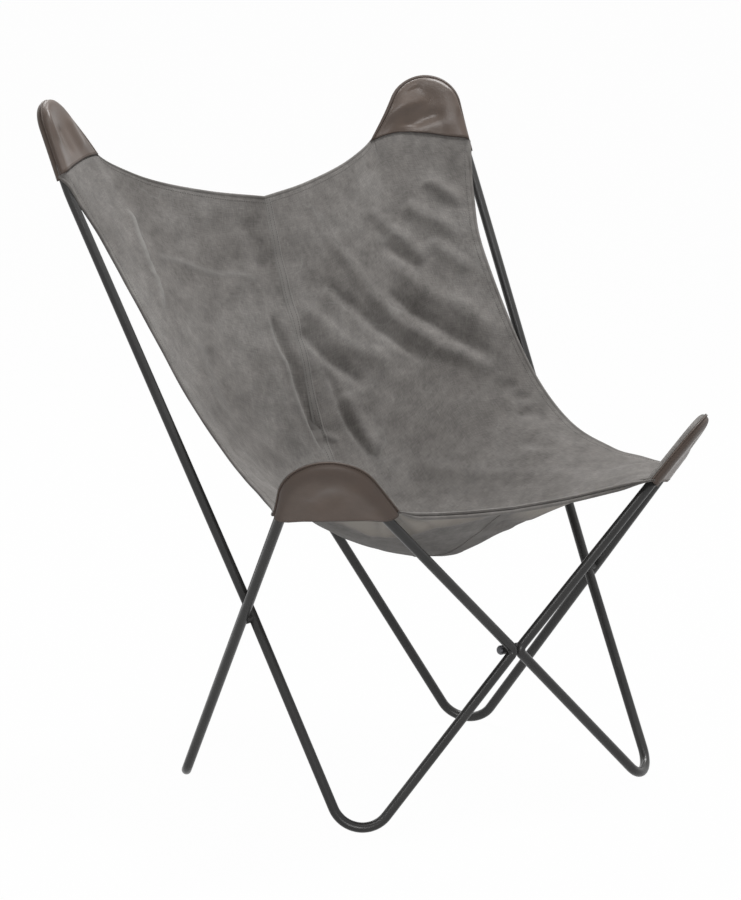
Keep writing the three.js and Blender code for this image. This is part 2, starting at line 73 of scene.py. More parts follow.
BACK_POCKET = {"outer": 190, "inner": 190}
FRONT_POCKET = {"outer": 137, "inner": 157}
SIDE_EDGE = [
    (-308, 268, 708), (-290, 223, 638), (-274, 111, 506),
    (-271, 20, 435), (-283, -56, 406), (-298, -100, 398),
]
TOP_EDGE = [(-160, 369, 753), (-80, 349, 733), (0, 328, 722)]
FRONT_EDGE = [(-160, -214, 393), (-80, -206, 385), (0, -196, 380)]
CENTRE_LINE = [
    (0, 296, 638), (0, 254, 536), (0, 204, 412), (0, 146, 335),
    (0, 86, 299), (0, 20, 291), (0, -60, 305), (0, -130, 337),
]
SAG_POWER = 1.7
HORN_SHARE = 7 / 19

# Finish sizes.
CANVAS = 1.5
LEATHER = 1.6
ROD_EASE = 0.3
LAYER_GAP = 0.1
CANVAS_CREST = ROD_RADIUS + ROD_EASE + CANVAS / 2
TIP_CREST = CANVAS_CREST + (CANVAS + LEATHER) / 2 + LAYER_GAP
POCKET_EASE = 0.8
POCKET_CREST = ROD_RADIUS + POCKET_EASE + LEATHER / 2
FLANGE = 1.4
FLIP = vec(-1, 1, 1)


def unit(v):
    return v / np.linalg.norm(v)


def smoothstep(x, low, high):
    s = np.clip((np.asarray(x, float) - low) / (high - low), 0, 1)
    return s * s * (3 - 2 * s)


def run_along(line):
    """Lengths along a line of points, from its first point."""
    return np.r_[0, np.cumsum(np.linalg.norm(np.diff(line, axis=0), axis=1))]


def points_at(places, run, line):
    """Points of a line at places along it."""
    return np.stack([np.interp(places, run, line[:, c]) for c in range(3)], axis=-1)


# Rod centre lines

BEND_STEP = math.radians(4)
FIT_ROUNDS = 30


def bend(corner, before, after, radius, start=0.0, end=1.0):
    """Points and tangents on the arc that rounds a corner."""
    a = unit(before - corner)
    b = unit(after - corner)
    half = math.acos(np.clip(a @ b, -1, 1)) / 2
    inward = unit(a + b)
    side = unit(a - inward * (a @ inward))
    centre = corner + inward * radius / math.sin(half)
    sweep = math.pi - 2 * half
    steps = max(1, math.ceil(sweep * (end - start) / BEND_STEP))
    angle = sweep * (0.5 - np.linspace(start, end, steps + 1))[:, None]
    points = centre - radius * np.cos(angle) * inward + radius * np.sin(angle) * side
    tangents = -np.sin(angle) * inward - np.cos(angle) * side
    return points, tangents


def foot_on_floor(plan, leg_a, leg_b):
    """The corner of a foot's bend that lets the rod touch the floor."""
    foot = vec(plan[0], plan[1], 0)
    for _ in range(FIT_ROUNDS):
        points, _ = bend(foot, leg_a, leg_b, FOOT_RADIUS)
        foot[2] += ROD_RADIUS - points[:, 2].min()
    return foot


def corner_at_middle(joint, leg_a, leg_b):
    """The corner of a joint's bend that ends beside the middle of the chair."""
    corner = vec(-ROD_RADIUS, joint[0], joint[1])
    for _ in range(FIT_ROUNDS):
        points, _ = bend(corner, leg_a, leg_b, CORNER_RADIUS)
        corner[0] -= points[:, 0].max() + ROD_RADIUS + TOUCH_GAP / 2
    return corner


def crossing_knee(seat_a, seat_b, back_a, back_b):
    """Where the back rod bends round the seat rod at the side."""
    seat = unit(seat_b - seat_a)
    back = unit(back_b - back_a)
    across = unit(np.cross(seat, back))
    across *= math.copysign(1, across[0])
    gap = back_a - seat_a
    along = seat @ back
    run = (gap @ seat - (gap @ back) * along) / (1 - along * along)
    return seat_a + seat * run + across * (2 * ROD_RADIUS + CROSSING_GAP)


def shoulder(leg_end):
    return BACK_LEGS_AIM + unit(leg_end - BACK_LEGS_AIM) * SHOULDER_DROP


foot_front = foot_on_floor(FOOT_FRONT, BACK_LEGS_AIM, vec(-ROD_RADIUS, *JOINT_FRONT))
foot_rear = foot_on_floor(FOOT_REAR, HORN_FRONT, vec(-ROD_RADIUS, *JOINT_BACK))
corner_front = corner_at_middle(JOINT_FRONT, HORN_FRONT, foot_front)
corner_back = corner_at_middle(JOINT_BACK, BACK_LEGS_AIM, foot_rear)
knee = crossing_knee(HORN_FRONT, foot_rear, BACK_LEGS_AIM, foot_front)
shoulder_inner = shoulder(corner_back)
shoulder_outer = shoulder(knee)
front_arc = bend(HORN_FRONT, corner_front, foot_rear, HORN_FRONT_RADIUS)
back_arc = bend(HORN_BACK, shoulder_inner, shoulder_outer, HORN_BACK_RADIUS)
seat_path = [
    bend(corner_front, foot_front, HORN_FRONT, CORNER_RADIUS, 0.5, 1),
    front_arc,
    bend(foot_rear, HORN_FRONT, corner_back, FOOT_RADIUS),
    bend(corner_back, foot_rear, shoulder_inner, CORNER_RADIUS, 0, 0.5),
]
back_path = [
    bend(corner_back, foot_rear, shoulder_inner, CORNER_RADIUS, 0.5, 1),
    bend(shoulder_inner, corner_back, HORN_BACK, SHOULDER_RADIUS),
    back_arc,
    bend(shoulder_outer, HORN_BACK, knee, SHOULDER_RADIUS),
    bend(knee, shoulder_outer, foot_front, CROSSING_RADIUS),
    bend(foot_front, knee, corner_front, FOOT_RADIUS),
    bend(corner_front, foot_front, HORN_FRONT, CORNER_RADIUS, 0, 0.5),
]

# From the source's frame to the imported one, whose origin is the middle of the part's outline.
MM = 1000
bolt_low, bolt_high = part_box("front_bolt")
bolt_y = JOINT_FRONT[0] + ROD_RADIUS + TOUCH_GAP + SLEEVE_DIAMETER / 2
ROW_SHIFT = vec(0, MM * (bolt_low[1] + bolt_high[1]) / 2 - bolt_y, 0)


# Meshes

SHARP_ANGLE = math.radians(60)
ROD_SIDES = 24
ANY_WAY = vec(0.31, 0.17, 0.94)


def make_piece(name, verts, faces, material, slot, replaced=(), mirrored=False):
    """A mesh object from millimetre points in the source's frame, riding on the chair."""
    if mirrored:
        verts = np.asarray(verts) * FLIP
        faces = [tuple(reversed(f)) for f in faces]
    mesh = bpy.data.meshes.new(name)
    points = (np.asarray(verts, float) + ROW_SHIFT) / MM
    mesh.from_pydata([tuple(p) for p in points], [], [tuple(f) for f in faces])
    mesh.validate()
    mesh.polygons.foreach_set("use_smooth", [True] * len(mesh.polygons))
    mesh.set_sharp_from_angle(angle=SHARP_ANGLE)
    mesh.update()
    piece = bpy.data.objects.new(name, mesh)
    bpy.context.scene.collection.objects.link(piece)
    mesh.materials.append(material)
    if replaced:
        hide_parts(*replaced)
    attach(piece, "root")
    return piece


def add_float(piece, name, values):
    """A value for each vertex, which the materials read by its name."""
    layer = piece.data.attributes.new(name, "FLOAT", "POINT")
    layer.data.foreach_set("value", np.asarray(values, np.float32))


def circle(centre, radius, a, b, sides):
    """Points of a circle in the plane of two directions."""
    angles = np.linspace(0, 2 * math.pi, sides, endpoint=False)
    return centre + radius * (np.outer(np.cos(angles), a) + np.outer(np.sin(angles), b))


def skin(rings):
    """A closed skin over circles of points, with a cap at each end."""
    sides = len(rings[0])
    last = (len(rings) - 1) * sides
    faces = []
    for start in range(0, last, sides):
        for k in range(sides):
            a = start + k
            b = start + (k + 1) % sides
            faces.append((a, b, b + sides, a + sides))
    faces.append(tuple(range(sides - 1, -1, -1)))
    faces.append(tuple(range(last, last + sides)))
    return np.vstack(rings), faces


def rod(points, tangents):
    """A round rod along points, with a frame carried along without twist."""
    normal = unit(np.cross(tangents[0], ANY_WAY))
    rings = []
    for point, tangent in zip(points, tangents):
        normal = unit(normal - tangent * (normal @ tangent))
        rings.append(circle(point, ROD_RADIUS, normal, np.cross(tangent, normal), ROD_SIDES))
    return skin(rings)


def grid_faces(rows, columns):
    """Faces of a grid of points, given row by row."""
    faces = []
    for i in range(rows - 1):
        for j in range(columns - 1):
            a = i * columns + j
            faces.append((a, a + columns, a + columns + 1, a + 1))
    return faces


def solidify(piece, thickness):
    """Gives a sheet its thickness, half to each side."""
    step = piece.modifiers.new("thickness", "SOLIDIFY")
    step.thickness = thickness / MM
    step.offset = 0
    return step


# Materials

STEEL_COLOURS = ((0.027, 0.0265, 0.026), (0.041, 0.040, 0.039))
ZINC_COLOURS = ((0.07, 0.07, 0.075), (0.13, 0.13, 0.14))
CANVAS_COLOURS = ((0.132, 0.123, 0.115), (0.166, 0.156, 0.147), (0.204, 0.194, 0.184))
CREASE_COLOUR = (0.27, 0.262, 0.25)
# Painted light: the pale colour of the underside's face below the front edge, where it is lit from the
# front.
PAINTED_LIGHT_COLOUR = (0.36, 0.328, 0.29)
LEATHER_COLOURS = ((0.073, 0.050, 0.037), (0.103, 0.072, 0.055))
# Painted shade: the dark brown the leather turns to beside its rod, along its welt and at its mouth.
LEATHER_PAINTED_SHADE = (0.037, 0.024, 0.018)
# Thread for the leather, its own colour made lighter than the leather, partly as a painted highlight on the
# stitches.
BROWN_THREAD = ((0.115, 0.088, 0.073), (0.16, 0.126, 0.107))
GREY_THREAD = ((0.10, 0.095, 0.09), (0.15, 0.145, 0.137))


def grey(value):
    return (value, value, value)


def new_material(name, values):
    """A material with values for inputs of its shader."""
    material = bpy.data.materials.new(name)
    material.use_nodes = True
    tree = material.node_tree
    shader = tree.nodes["Principled BSDF"]
    for key, value in values.items():
        shader.inputs[key].default_value = value
    return material, tree, shader


def link(tree, source, target):
    tree.links.new(source, target)


def node(tree, kind, **values):
    made = tree.nodes.new(kind)
    for key, value in values.items():
        if key in made.inputs:
            made.inputs[key].default_value = value
        else:
            setattr(made, key, value)
    return made


def noise(tree, coords, scale, detail, rough=0.55, stretch=None):
    """Soft noise from 0 to 1, stretched where a scale for each axis is given."""
    if stretch is not None:
        mapping = node(tree, "ShaderNodeMapping")
        mapping.inputs["Scale"].default_value = stretch
        link(tree, coords, mapping.inputs["Vector"])
        coords = mapping.outputs["Vector"]
    made = node(tree, "ShaderNodeTexNoise", Scale=scale, Detail=detail, Roughness=rough)
    link(tree, coords, made.inputs["Vector"])
    return made.outputs["Fac"]


def ramp(tree, fac, low, high, colours):
    """Colours spread evenly from a low value to a high one."""
    made = node(tree, "ShaderNodeValToRGB")
    elements = made.color_ramp.elements
    while len(elements) < len(colours):
        elements.new(0.5)
    for element, place, colour in zip(elements, np.linspace(low, high, len(colours)), colours):
        element.position = place
        element.color = (*colour, 1)
    link(tree, fac, made.inputs["Fac"])
    return made.outputs["Color"]


def maths(tree, operation, *values):
    made = node(tree, "ShaderNodeMath", operation=operation)
    for k, value in enumerate(values):
        if isinstance(value, (int, float)):
            made.inputs[k].default_value = value
        else:
            link(tree, value, made.inputs[k])
    return made.outputs["Value"]


def mix(tree, fac, a, b, blend="MIX"):
    made = node(tree, "ShaderNodeMix", data_type="RGBA", blend_type=blend)
    for key, value in (("Factor", fac), ("A", a), ("B", b)):
        socket = [s for s in made.inputs if s.name == key and s.type in ("RGBA", "VALUE") and s.enabled][0]
        if isinstance(value, (int, float)):
            socket.default_value = value
        elif isinstance(value, tuple):
            socket.default_value = (*value, 1)
        else:
            link(tree, value, socket)
    return [s for s in made.outputs if s.enabled][0]


def bump(tree, shader, height, strength, distance):
    made = node(tree, "ShaderNodeBump", Strength=strength, Distance=distance)
    link(tree, height, made.inputs["Height"])
    link(tree, made.outputs["Normal"], shader.inputs["Normal"])


def steel_material():
    material, tree, shader = new_material("coated_steel", {"Roughness": 0.42, "Specular IOR Level": 0.3})
    coords = node(tree, "ShaderNodeTexCoord").outputs["Object"]
    patches = noise(tree, coords, scale=14, detail=5)
    colour = ramp(tree, patches, 0.3, 0.7, STEEL_COLOURS)
    link(tree, colour, shader.inputs["Base Color"])
    grain = noise(tree, coords, scale=1500, detail=2)
    link(tree, maths(tree, "MULTIPLY_ADD", patches, 0.16, 0.22), shader.inputs["Roughness"])
    bump(tree, shader, grain, strength=0.25, distance=0.0003)
    return material


def zinc_material():
    material, tree, shader = new_material("dark_zinc", {"Roughness": 0.4, "Metallic": 0.8})
    coords = node(tree, "ShaderNodeTexCoord").outputs["Object"]
    patches = noise(tree, coords, scale=90, detail=4)
    colour = ramp(tree, patches, 0.3, 0.7, ZINC_COLOURS)
    link(tree, colour, shader.inputs["Base Color"])
    bump(tree, shader, noise(tree, coords, scale=900, detail=2), strength=0.2, distance=0.0002)
    return material


def crackle(tree, place):
    """Fine pale cracks in the wax, in patches."""
    warp = node(tree, "ShaderNodeTexNoise", Scale=6.0, Detail=4.0)
    link(tree, place, warp.inputs["Vector"])
    moved = node(tree, "ShaderNodeVectorMath", operation="MULTIPLY_ADD")
    link(tree, warp.outputs["Color"], moved.inputs[0])
    moved.inputs[1].default_value = grey(0.3)
    link(tree, place, moved.inputs[2])
    cracks = node(tree, "ShaderNodeTexVoronoi", feature="DISTANCE_TO_EDGE", Scale=16.0)
    link(tree, moved.outputs["Vector"], cracks.inputs["Vector"])
    lines = ramp(tree, cracks.outputs["Distance"], 0.0, 0.05, [grey(1), grey(0)])
    patches = ramp(tree, noise(tree, place, scale=17, detail=3), 0.50, 0.68, [grey(0), grey(1)])
    return maths(tree, "MULTIPLY", maths(tree, "MULTIPLY", lines, patches), 0.32)


def weave(tree, uv):
    """The height of a plain weave."""
    waves = []
    for direction in ("X", "Y"):
        wave = node(tree, "ShaderNodeTexWave", bands_direction=direction, Scale=260.0, Distortion=0.6)
        wave.inputs["Detail"].default_value = 1.0
        link(tree, uv, wave.inputs["Vector"])
        waves.append(wave.outputs["Fac"])
    return maths(tree, "MULTIPLY", maths(tree, "MAXIMUM", *waves), 0.5)


CANVAS_VALUES = {
    "Roughness": 0.88, "Sheen Weight": 0.08, "Sheen Roughness": 0.5, "Specular IOR Level": 0.25,
}


def canvas_material(name, painted_light=False):
    material, tree, shader = new_material(name, CANVAS_VALUES)
    coords = node(tree, "ShaderNodeTexCoord")
    uv = coords.outputs["UV"]
    place = coords.outputs["Object"]
    colour = ramp(tree, noise(tree, place, scale=9, detail=5, rough=0.6), 0.30, 0.70, CANVAS_COLOURS)
    blotches = noise(tree, place, scale=48, detail=4, rough=0.65)
    patches = ramp(tree, blotches, 0.30, 0.70, [grey(0.80), grey(1.20)])
    colour = mix(tree, 1.0, colour, patches, "MULTIPLY")
    warp = noise(tree, uv, scale=1, detail=3, rough=0.6, stretch=(700, 90, 1))
    weft = noise(tree, uv, scale=1, detail=3, rough=0.6, stretch=(90, 700, 1))
    threads = maths(tree, "ADD", warp, weft)
    halved = maths(tree, "MULTIPLY", threads, 0.5)
    streaks = ramp(tree, halved, 0.34, 0.66, [grey(0.76), grey(1.24)])
    colour = mix(tree, 1.0, colour, streaks, "MULTIPLY")
    marks = node(tree, "ShaderNodeAttribute", attribute_name="crease").outputs["Fac"]
    colour = mix(tree, maths(tree, "MAXIMUM", crackle(tree, place), marks), colour, CREASE_COLOUR)
    # Painted light: the underside turns pale where its face below the front edge is lit.
    if painted_light:
        painted_light_mask = node(tree, "ShaderNodeAttribute", attribute_name="painted_light").outputs["Fac"]
        colour = mix(tree, painted_light_mask, colour, PAINTED_LIGHT_COLOUR)
    link(tree, colour, shader.inputs["Base Color"])
    bump(tree, shader, maths(tree, "ADD", weave(tree, uv), threads), strength=0.35, distance=0.0006)
    return material


def leather_material():
    material, tree, shader = new_material("brown_leather", {"Roughness": 0.3})
    coords = node(tree, "ShaderNodeTexCoord").outputs["Object"]
    clouds = noise(tree, coords, scale=26, detail=5, rough=0.6)
    colour = ramp(tree, clouds, 0.3, 0.7, LEATHER_COLOURS)
    # The "edge" value is painted shade, laid in build_leather; it also makes the leather rougher there.
    edge = node(tree, "ShaderNodeAttribute", attribute_name="edge").outputs["Fac"]
    colour = mix(tree, edge, colour, LEATHER_PAINTED_SHADE)
    link(tree, colour, shader.inputs["Base Color"])
    rough = maths(tree, "MULTIPLY_ADD", edge, 0.5, maths(tree, "MULTIPLY_ADD", clouds, 0.2, 0.22))
    link(tree, rough, shader.inputs["Roughness"])
    grain = node(tree, "ShaderNodeTexVoronoi", Scale=620.0)
    link(tree, coords, grain.inputs["Vector"])
    height = maths(tree, "ADD", grain.outputs["Distance"], noise(tree, coords, scale=130, detail=4))
    bump(tree, shader, height, strength=0.1, distance=0.0008)
    return material


def thread_material(name, colours):
    material, tree, shader = new_material(name, {"Roughness": 0.9, "Specular IOR Level": 0.2})
    coords = node(tree, "ShaderNodeTexCoord").outputs["Object"]
    colour = ramp(tree, noise(tree, coords, scale=300, detail=2), 0.3, 0.7, colours)
    link(tree, colour, shader.inputs["Base Color"])
    twist = node(tree, "ShaderNodeTexWave", Scale=900.0)
    link(tree, coords, twist.inputs["Vector"])
    bump(tree, shader, twist.outputs["Fac"], strength=0.3, distance=0.0002)
    return material


steel = steel_material()
zinc = zinc_material()
canvas = canvas_material("waxed_canvas")
# The underside, with painted light on its lit face.
canvas_under = canvas_material("canvas_underside_painted_light", painted_light=True)
leather = leather_material()
brown_thread = thread_material("brown_thread", BROWN_THREAD)
grey_thread = thread_material("grey_thread", GREY_THREAD)


# Frame

def build_rods():
    """The four rods of the frame, in place of their solids."""
    for kind, path in (("seat", seat_path), ("back", back_path)):
        points = np.vstack([p for p, _ in path])
        tangents = np.vstack([t for _, t in path])
        verts, faces = rod(points, tangents)
        for side in ("left", "right"):
            name = f"{side}_{kind}_rod"
            finish = f"{name}_finish"
            make_piece(finish, verts, faces, steel, "coated_steel", [name], mirrored=side == "right")


def dress_hardware():
    """Paints the solids of the joints and the welds, which stay in view."""
    for name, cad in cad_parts.items():
        if name.endswith(("sleeve", "weld")):
            paint = steel
        elif name.endswith(("washer", "nut", "bolt")):
            paint = zinc
        else:
            continue
        cad.data.materials.clear()
        cad.data.materials.append(paint)


# Horn sheets

# The columns of a sheet: a flat welt, a pillow up to the rod's crest and the part between the legs.
WELT_STEPS = 3
PILLOW_STEPS = 9
INNER_STEPS = 10
SHEET_COLUMNS = WELT_STEPS + PILLOW_STEPS + INNER_STEPS
LEG_ROWS = 14
ARCH_ROWS = 44
BACK_WELT = 5.0
FRONT_WELT = 2.4
WELT_CROWN = (0.0, 0.3, 0.0)
LEAST_WELT = 0.6
PILLOW_GAP = 0.5
PILLOW_POWER = 0.62
INNER_POWER = 1.25
SAG_REACH = 30
# How far the sewn border rises to the sitter's side at the inner leg, and over which shares of it.
INNER_LIFT = {"back": 7.0, "front": 1.5}
INNER_LIFT_SHARES = (0.6, 0.95)
# How much further up than the solids the mouths end at the outer and inner leg, and their arch.
SEAMS = {"left": {"rise": (6, 10), "arch": 4}, "right": {"rise": (15, 3), "arch": 13}}
FRONT_RISE = {"left": (0, -7), "right": (-12, -14)}
FRONT_DROOP = 6.0
# Mouth lines: shares across, from the outer edge to the inner one, and shares of the arch.
TIP_MOUTH = ((0, 0.19, 0.4, 0.61, 0.74, 0.874, 1), (0, 0.31, 0.78, 1, 0.97, 0.52, 0))
POCKET_MOUTH = ((0, 0.1, 0.3, 0.7, 0.9, 1), (0, 0.8, 1, 1, 0.8, 0))
# How far the sewn borders stand out from the rods, at shares from the outer mouth to the inner.
MARGIN_SHARES = (0, 0.15, 0.3, 0.5, 0.65, 0.8, 1)
MARGINS = {
    ("back", "left"): (3.2, 2.4, 1.6, 2.2, 6, 10, 17),
    ("back", "right"): (2.5, 4, 6.5, 9, 8.5, 9.5, 15),
    ("front", "left"): (4, 6.5, 11.5, 19, 20, 17, 13),
    ("front", "right"): (4, 5, 8, 14, 15, 14, 13),
}


TABLE_PLACES = np.linspace(0, 1, 201)
SMOOTH_ROUNDS = 3
MARGIN_BLUR = 10
MOUTH_BLUR = 5


def soft_table(places, values, reach):
    """Values at even places, smoothed, with the ends kept."""
    table = np.interp(TABLE_PLACES, places, values)
    for _ in range(SMOOTH_ROUNDS):
        more = np.pad(table, reach, mode="reflect", reflect_type="odd")
        table = np.convolve(more, np.ones(2 * reach + 1) / (2 * reach + 1), "valid")
    return table


class Horn:
    """One horn: its rod line from the outer leg to the inner leg, its plane and its pocket's reach."""

    def __init__(self, name, corner, arc, pocket, welt):
        points, tangents = arc
        self.name = name
        self.corner = corner
        self.arc = points[::-1]
        self.out_outer = tangents[-1]
        self.out_inner = -tangents[0]
        self.pocket = pocket
        self.welt = welt
        outer = corner + self.out_outer * pocket["outer"]
        inner = corner + self.out_inner * pocket["inner"]
        self.sitter = unit(np.cross(outer - corner, inner - corner))
        if self.sitter @ (vec(0, 0, HORN_FRONT[2]) - corner) < 0:
            self.sitter = -self.sitter
        self.across = unit(inner - outer)
        up = corner - (outer + inner) / 2
        self.up = unit(up - self.across * (up @ self.across))
        bisector = unit(self.out_outer + self.out_inner)
        half = math.acos(np.clip(self.out_outer @ self.out_inner, -1, 1)) / 2
        radius = np.linalg.norm(points[0] - corner) * math.tan(half)
        self.centre = corner + bisector * radius / math.sin(half)

    def rows(self, rise, margins):
        """Rod points, outward directions and margins, row by row, from mouth to mouth."""
        f = np.linspace(0, 1, LEG_ROWS + 1)[:, None]
        outer = self.corner + self.out_outer * (self.pocket["outer"] - rise[0])
        inner = self.corner + self.out_inner * (self.pocket["inner"] - rise[1])
        run = np.linspace(0, len(self.arc) - 1, ARCH_ROWS + 2)[1:-1]
        arch = points_at(run, np.arange(len(self.arc)), self.arc)
        outer_leg = outer + (self.arc[0] - outer) * f
        inner_leg = inner + (self.arc[-1] - inner) * f
        line = np.vstack([outer_leg, arch, inner_leg[::-1]])
        tangent = np.gradient(line, axis=0)
        away = np.cross(tangent, self.sitter)
        away /= np.linalg.norm(away, axis=1)[:, None]
        middle = (outer + inner) / 2
        away *= np.sign(((line - middle) * away).sum(1))[:, None]
        length = run_along(line)
        reach = soft_table(MARGIN_SHARES, margins, MARGIN_BLUR)
        margin = ROD_RADIUS + np.interp(length / length[-1], TABLE_PLACES, reach)
        return line, away, margin

    def sheet(
        self, crest, side, sag, margins, rise=(0, 0), arch=0, mouth=POCKET_MOUTH, flange=FLANGE,
    ):
        """A sheet drawn over the horn's rod: side 1 is the sitter's, -1 the far one.

        Gives points by row and column, from the edge of its sewn border to the spine."""
        line, away, margin = self.rows(rise, margins)
        count = len(line)
        edge = line + away * margin[:, None]
        middle = (edge[0] + edge[-1]) / 2
        leg = np.linspace(0, 1, LEG_ROWS + 1)
        f = np.r_[leg, np.ones(ARCH_ROWS), leg[::-1]]
        spine = middle + (self.centre - middle) * f[:, None]
        grid = np.zeros((count, SHEET_COLUMNS + 1, 3))
        welt = np.clip(margin - crest - LEAST_WELT, LEAST_WELT, self.welt)
        lift = smoothstep(np.linspace(0, 1, count), *INNER_LIFT_SHARES)
        border = flange + side * INNER_LIFT[self.name] * lift
        inner = (np.arange(1, INNER_STEPS + 1) / INNER_STEPS) ** INNER_POWER
        for k in range(SHEET_COLUMNS + 1):
            if k < WELT_STEPS:
                flat = line + away * (margin - welt * k / (WELT_STEPS - 1))[:, None]
                height = border + WELT_CROWN[k]
            elif k <= WELT_STEPS + PILLOW_STEPS:
                angle = math.pi / 2 * (k - WELT_STEPS) / PILLOW_STEPS
                flat = line + away * ((margin - welt - PILLOW_GAP) * math.cos(angle))[:, None]
                height = border + (crest - border) * math.sin(angle) ** PILLOW_POWER
            else:
                flat = line + (spine - line) * inner[k - WELT_STEPS - PILLOW_STEPS - 1]
                inward = np.linalg.norm(flat - line, axis=1)
                height = crest - sag * smoothstep(inward, 0, SAG_REACH)
            grid[:, k] = flat + self.sitter * (side * height)[:, None]
        self.draw_mouth(grid, arch, soft_table(*mouth, MOUTH_BLUR))
        return grid

    def draw_mouth(self, grid, arch, shape):
        """Draws the rows near the mouth to one smooth line from edge to edge."""
        start = grid[0, 0].copy()
        end = grid[-1, 0] - start
        fade = (1 - np.linspace(0, 1, LEG_ROWS + 1)) ** 2
        for row, step in ((0, 1), (-1, -1)):
            s = (grid[row] - start) @ self.across / (end @ self.across)
            goal = (end @ self.up) * s + arch * np.interp(s, TABLE_PLACES, shape)
            shift = goal - (grid[row] - start) @ self.up
            for k in range(LEG_ROWS + 1):
                grid[row + step * k] += np.outer(shift * fade[k], self.up)

    def mouth(self, grid, row=0):
        """A line across a sheet near its mouth, from the outer edge to the inner edge."""
        return np.vstack([grid[row], grid[-1 - row][:-1][::-1]])


def sheet_mesh(grid):
    """Vertices and faces of a horn's sheet, with the spine shared by its two legs."""
    count, columns = grid.shape[:2]
    verts = []
    index = np.zeros((count, columns), int)
    for i in range(count):
        for k in range(columns - 1):
            index[i, k] = len(verts)
            verts.append(grid[i, k])
    spine = []
    for i in range(LEG_ROWS + 1):
        spine.append(len(verts))
        verts.append((grid[i, -1] + grid[count - 1 - i, -1]) / 2)
    for i in range(count):
        index[i, -1] = spine[min(i, count - 1 - i, LEG_ROWS)]
    faces = []
    for i in range(count - 1):
        for k in range(columns - 1):
            loop = [index[i, k], index[i, k + 1], index[i + 1, k + 1], index[i + 1, k]]
            faces.append(tuple(dict.fromkeys(int(v) for v in loop)))
    return np.array(verts), faces, index


back_horn = Horn("back", HORN_BACK, back_arc, BACK_POCKET, BACK_WELT)
front_horn = Horn("front", HORN_FRONT, front_arc, FRONT_POCKET, FRONT_WELT)


# Sling surface

CURVE_STEPS = 40


class Through:
    """A smooth curve through points, read by its share of length."""

    def __init__(self, points):
        p = np.array(points, float)
        more = np.vstack([2 * p[0] - p[1], p, 2 * p[-1] - p[-2]])
        w = np.linspace(0, 1, CURVE_STEPS, endpoint=False)[:, None]
        parts = []
        for i in range(len(p) - 1):
            p0, p1, p2, p3 = more[i:i + 4]
            a = 0.5 * (p2 - p0)
            b = 0.5 * (p3 - p1)
            square = 3 * (p2 - p1) - 2 * a - b
            cube = 2 * (p1 - p2) + a + b
            parts.append(p1 + a * w + square * w ** 2 + cube * w ** 3)
        self.points = np.vstack(parts + [p[-1:]])
        run = run_along(self.points)
        self.length = run[-1]
        self.share = run / run[-1]

    def at(self, t):
        return points_at(t, self.share, self.points)


BLUR_STEPS = 400


def soften(values, share, width):
    """Smooths values over the share across, keeping them at the side and symmetric at the middle."""
    even = np.linspace(0, 1, BLUR_STEPS + 1)
    reach = int(3 * width * BLUR_STEPS)
    kernel = np.exp(-0.5 * (np.arange(-reach, reach + 1) / (width * BLUR_STEPS)) ** 2)
    kernel /= kernel.sum()
    out = np.zeros_like(values)
    for c in range(3):
        line = np.interp(even, share, values[:, c])
        before = 2 * line[0] - line[reach:0:-1]
        after = line[-2:-reach - 2:-1] * (-1 if c == 0 else 1)
        line = np.convolve(np.r_[before, line, after], kernel, "valid")
        out[:, c] = np.interp(share, even, line)
    return out


EDGE_COLUMNS = 60
SLING_ROWS = 200
LAP_ROWS = 3
LAP_GAP = 0.15
LAP_DROP = (CANVAS + LEATHER) / 2 + LAP_GAP
# The ends are met in three steps, from coarse to fine: shares to smooth over, and reaches in mm.
COARSE_BLUR = 0.07
DETAIL_BLUR = 0.015
DETAIL_REACH = 42.0
FINE_REACH = 9.0
LEATHER_TIP_SAG = 3.5
CANVAS_TIP_SAG = 2.5
# How far the top edge dips beside the back horns.
TOP_DIP = {"left": 4.5, "right": 2.5}
DIP_REACH = 18.0


